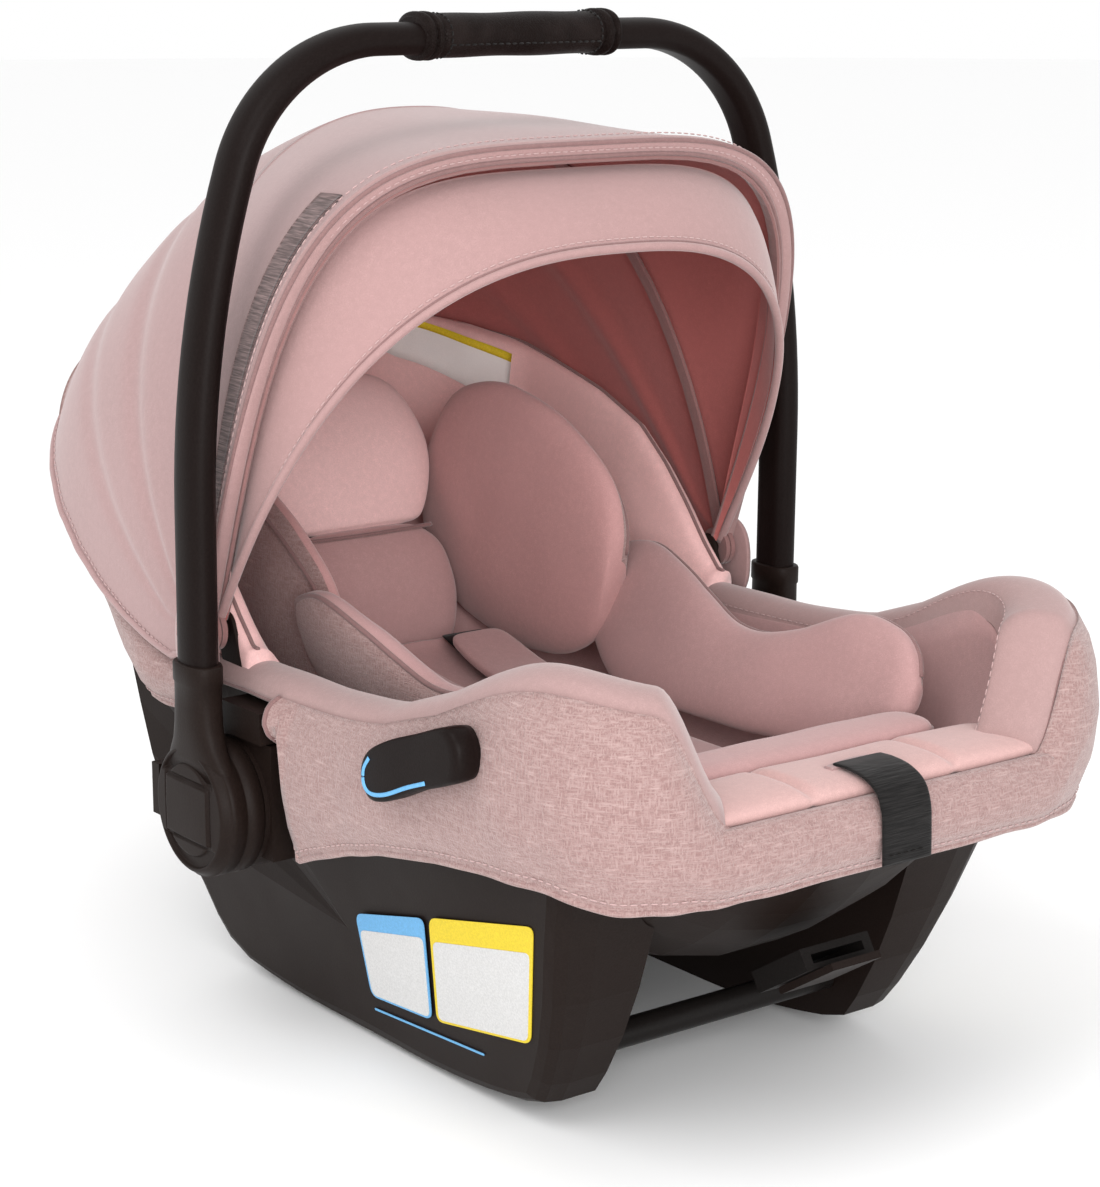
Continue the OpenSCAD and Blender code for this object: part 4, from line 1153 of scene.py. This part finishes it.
# [x, r] round the disc's edge, with a groove, and [r, half x, half y, shift] up the socket
HUB_EDGE = [(18, HUB_R), (12, HUB_R), (11, HUB_R - 1.2), (10, HUB_R - 1.2), (9, HUB_R),
            (0.5, HUB_R), (0, HUB_R - 1)]
SOCKET = [(20, 8.5, 33, -1.5), (30, 9, 27, -1), (38, 9.4, 21.5, -0.5), (48, 9.8, 18, 0),
          (60, 10, 16.6, 0), (72, 10.2, 16.2, 0), (73, 10.9, 17, 0), (82.4, 10.9, 17, 0),
          (83.6, 10.4, 16.5, 0), (83.8, 9.6, 15.6, 0)]


def make_hubs():
    """Disc with a plain plate and two crescents, and the socket that holds the handle."""
    radii = np.concatenate([np.linspace(1, 32, 50), np.linspace(32.5, HUB_R, 24)])
    socket = oval(turn(48), 0.72, 0.8)
    for side, word in SIDES:
        rings = [hub_ring(side, None, r) for r in radii]
        rings += [hub_ring(side, x, r) for x, r in HUB_EDGE]
        disc = ring_piece(f"hub_disc_{word}", rings, [PLASTIC], "handle")
        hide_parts(f"hub_housing_{word}", f"hub_plate_{word}")
        rings = []
        for r, a, b, shift in SOCKET:
            centre = on_handle(side * (HANDLE_X + shift), r)
            rings.append(oval_rings(centre, np.array([1, 0, 0]), ACROSS, a, b, socket))
        ring_piece(f"handle_socket_{word}", rings, [PLASTIC], "handle")


GUIDE = [(-150, 190), (-142, 196), (-141, 206), (-148, 216), (-165, 225), (-190, 234),
         (-212, 242), (-222, 242), (-228, 233), (-227, 220), (-218, 214), (-190, 204),
         (-165, 193)]


def make_guides():
    """Tapered caps over the belt guides, each with a blue line round its lower rear edge."""
    shape = curve_through(GUIDE, 90, closed=True)
    centre = shape.mean(0)
    for side, word in SIDES:
        rings = []
        for x, k in ((191, 0.96), (196, 1.0), (203.5, 1.0), (205.6, 0.975), (206.6, 0.92),
                     (206.9, 0.85), (206.9, 0.3)):
            q = centre + (shape - centre) * k
            rings.append(xyz(side * x, q[:, 0], q[:, 1]))
        cap = ring_piece(f"belt_guide_cap_{word}", rings, [HANDLE])
        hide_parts(f"belt_guide_{word}")
        line = curve_through([(-151, 213), (-146, 206), (-146, 198), (-152, 194.5), (-165, 197),
                              (-185, 205.5), (-201, 211.5)], 60)
        path = xyz(side * 206.4, line[:, 0], line[:, 1])
        blue = cord_piece(f"guide_line_{word}", path, 1.25, BLUE)
        if side < 0:
            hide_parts("guide_trim")


def rounded(corners, radius, steps=8):
    """A convex outline with rounded corners."""
    corners = [np.array(c, float) for c in corners]
    points = []
    for i, c in enumerate(corners):
        p, q = corners[i - 1], corners[(i + 1) % len(corners)]
        a = c + (p - c) / np.linalg.norm(p - c) * radius
        b = c + (q - c) / np.linalg.norm(q - c) * radius
        for f in np.linspace(0, 1, steps):
            points.append((1 - f) ** 2 * a + 2 * f * (1 - f) * c + f * f * b)
    return np.array(points)


# The side wall: its distance from the middle at the floor, and how far it leans out per mm up
RAIL_HALF, WALL_LEAN = 124, 0.24


def wall_plate(name, shape, lift, thick, used, side):
    """A thin plate on the leaning side wall, from its outline in side view."""
    rings = []
    centre = shape.mean(0)
    for up, k in ((lift, 1), (lift + thick, 1), (lift + thick, 0.5)):
        q = centre + (shape - centre) * k
        rings.append(xyz(side * (RAIL_HALF + WALL_LEAN * q[:, 1] + up), q[:, 0], q[:, 1]))
    plate = ring_piece(name, rings, [used])
    plate.data.polygons.foreach_set("use_smooth", [False] * len(plate.data.polygons))
    return plate


LABELS = {"blue": [(-40, 86), (-114, 105), (-98, 38), (-36, 33)],
          "yellow": [(-120, 107), (-222, 132), (-195, 56), (-103, 39)]}


def make_labels():
    """Two blank panels on each wall with a coloured border and header, and a level line."""
    for side, word in SIDES:
        for kind, corners in LABELS.items():
            corners = [np.array(c, float) for c in corners]
            colour = BLUE if kind == "blue" else YELLOW
            border = wall_plate(f"label_border_{kind}_{word}", rounded(corners, 7), 0.15, 0.5,
                                colour, side)
            if side < 0 and kind == "blue":
                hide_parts("label_panels")
            a, b, c, d = corners
            down = 0.17 if kind == "blue" else 0.2
            inner = [mix(a, d, down), mix(b, c, down), c, d]
            middle = sum(inner) / 4
            inner = [middle + (q - middle) * 0.945 for q in inner]
            wall_plate(f"label_face_{kind}_{word}", rounded(inner, 5), 0.5, 0.4, WHITE_FILM, side)
        line = [(-36, 24), (-36, 25.4), (-145, 33.4), (-145, 32)]
        wall_plate(f"level_line_{word}", rounded(line, 0.5, 3), 0.15, 0.4, BLUE, side)


# ---- Harness and straps ----

def strap_piece(name, path, side, wide, thick, used=WEBBING):
    """Flat webbing along a path, with rounded edges."""
    rings = tube_rings(curve_through(path, 60), side, thick / 2, wide / 2, 5, 20)
    return ring_piece(name, rings, [used])


def make_harness():
    """Two shoulder straps with soft pads, and the strap between the legs."""
    for side, word in SIDES:
        path = [(side * x, y, z) for x, y, z in
                ((40, 118, 189), (39, 80, 176.5), (36, 40, 170), (31, 0, 169), (26, -40, 171.5),
                 (25, -53, 173))]
        piece = strap_piece(f"harness_{word}", path, (1, 0, 0), 30, 1.6)
        if side < 0:
            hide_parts("harness_straps")
    strap = strap_piece("crotch_webbing", [(0, -115, 57), (0, -115, 100), (0, -115, 150),
                                           (0, -115, 177)], (1, 0, 0), 36, 1.6)
    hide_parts("crotch_strap")
    for side, word in SIDES:
        stations = [((side * (37 - (60 - y) * 0.06), y, z), 22 * k, 3.6 * k) for y, z, k in
                    ((104, 191.5, 0.4), (98, 189.5, 0.9), (60, 179.5, 1), (20, 175, 1),
                     (2, 174.5, 0.9), (-4, 174.5, 0.4))]
        piece, _ = loft(f"shoulder_pad_{word}", stations, (1, 0, 0), (0, 0, 1), 4, MAUVE, 32, 60,
                        0.3, seed=90)
        if side < 0:
            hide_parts("shoulder_pads")


def make_adjuster_strap():
    """The strap out of the lip and down its front, with stitches and a trimmed slot."""
    low = box_mm("adjuster_strap")[0][2]
    f = -FRONT
    path = [(0, f + 34, LIP_Z + 3.2), (0, f + 24, LIP_Z + 3.4), (0, f + 12, LIP_Z + 1.6),
            (0, f + 2, LIP_Z - 4), (0, f - 2.6, LIP_Z - 14), (0, f - 3.6, LIP_Z - 26),
            (0, f - 4, low + 0.5)]
    piece = strap_piece("adjuster_webbing", path, (1, 0, 0), 34, 1.8)
    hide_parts("adjuster_strap")
    end = xyz(np.linspace(-15, 15, 30), f - 5.4, low + 6)
    stitch_line("adjuster_end_stitch", end, DARK, radius=0.4)
    slot_edge = [(-20, f + 34, LIP_Z + 1), (0, f + 35, LIP_Z + 2.2), (20, f + 34, LIP_Z + 1)]
    strap_piece("adjuster_slot_trim", slot_edge, (0, 1, 0), 6, 3, PINK)


# ---- Stage ----

def area_light(name, place, target, size, power):
    """A rectangular light that faces its target."""
    data = bpy.data.lights.new(name, "AREA")
    data.shape = "RECTANGLE"
    data.size, data.size_y = size
    data.energy = power
    light = bpy.data.objects.new(name, data)
    light.location = place
    light.rotation_euler = (Vector(place) - Vector(target)).to_track_quat("Z", "Y").to_euler()
    bpy.context.scene.collection.objects.link(light)


def camera_and_light():
    """Camera at the photograph's angle, a pale floor and soft studio light."""
    data = bpy.data.cameras.new("camera")
    camera = bpy.data.objects.new("camera", data)
    bpy.context.scene.collection.objects.link(camera)
    azimuth, elevation, distance = math.radians(-37.3), math.radians(12.3), 1.627
    back = Vector((math.sin(azimuth) * math.cos(elevation),
                   -math.cos(azimuth) * math.cos(elevation), math.sin(elevation)))
    camera.location = Vector((0, -0.048, 0.2703)) + back * distance
    camera.rotation_euler = back.to_track_quat("Z", "Y").to_euler()
    data.sensor_width = 36
    data.lens = 86.1
    data.shift_x = -0.0173
    data.shift_y = -0.0282
    data.clip_end = 100
    scene = bpy.context.scene
    scene.camera = camera
    scene.view_settings.view_transform = "Standard"
    scene.view_settings.look = "None"
    world = bpy.data.worlds.new("studio")
    world.use_nodes = True
    sky = world.node_tree.nodes["Background"]
    sky.inputs["Color"].default_value = (1, 1, 1, 1)
    sky.inputs["Strength"].default_value = 1.0
    scene.world = world
    area_light("key", (-1.8, -0.6, 2.4), (0, 0, 0.3), (1.4, 1.4), 22)
    area_light("front", (-1.2, -2.4, 0.95), (0.05, 0.0, 0.3), (1.9, 1.3), 49)
    bpy.ops.mesh.primitive_circle_add(vertices=128, radius=14, fill_type="NGON")
    floor = bpy.context.object
    floor.name = "floor"
    paper, _, _, _ = material("floor_paper", (0.97, 0.97, 0.97), 0.95, Specular_IOR_Level=0.1)
    floor.data.materials.append(paper)


def build():
    """Everything, in the order in which it is made."""
    camera_and_light()
    dress_cad_nodes()
    make_skirt()
    make_rim_band()
    make_seat_cover()
    make_front_lip()
    make_insert_pad()
    make_leg_roll()
    make_head_pillow()
    for side, word in SIDES:
        make_bolster(side, word)
        make_head_wing(side, word)
    make_rear_cloth()
    make_front_cloth()
    make_bow_edge()
    make_visor()
    make_pivot_tabs()
    make_collar()
    make_hubs()
    make_guides()
    make_labels()
    make_handle()
    make_grip()
    make_harness()
    make_adjuster_strap()


build()
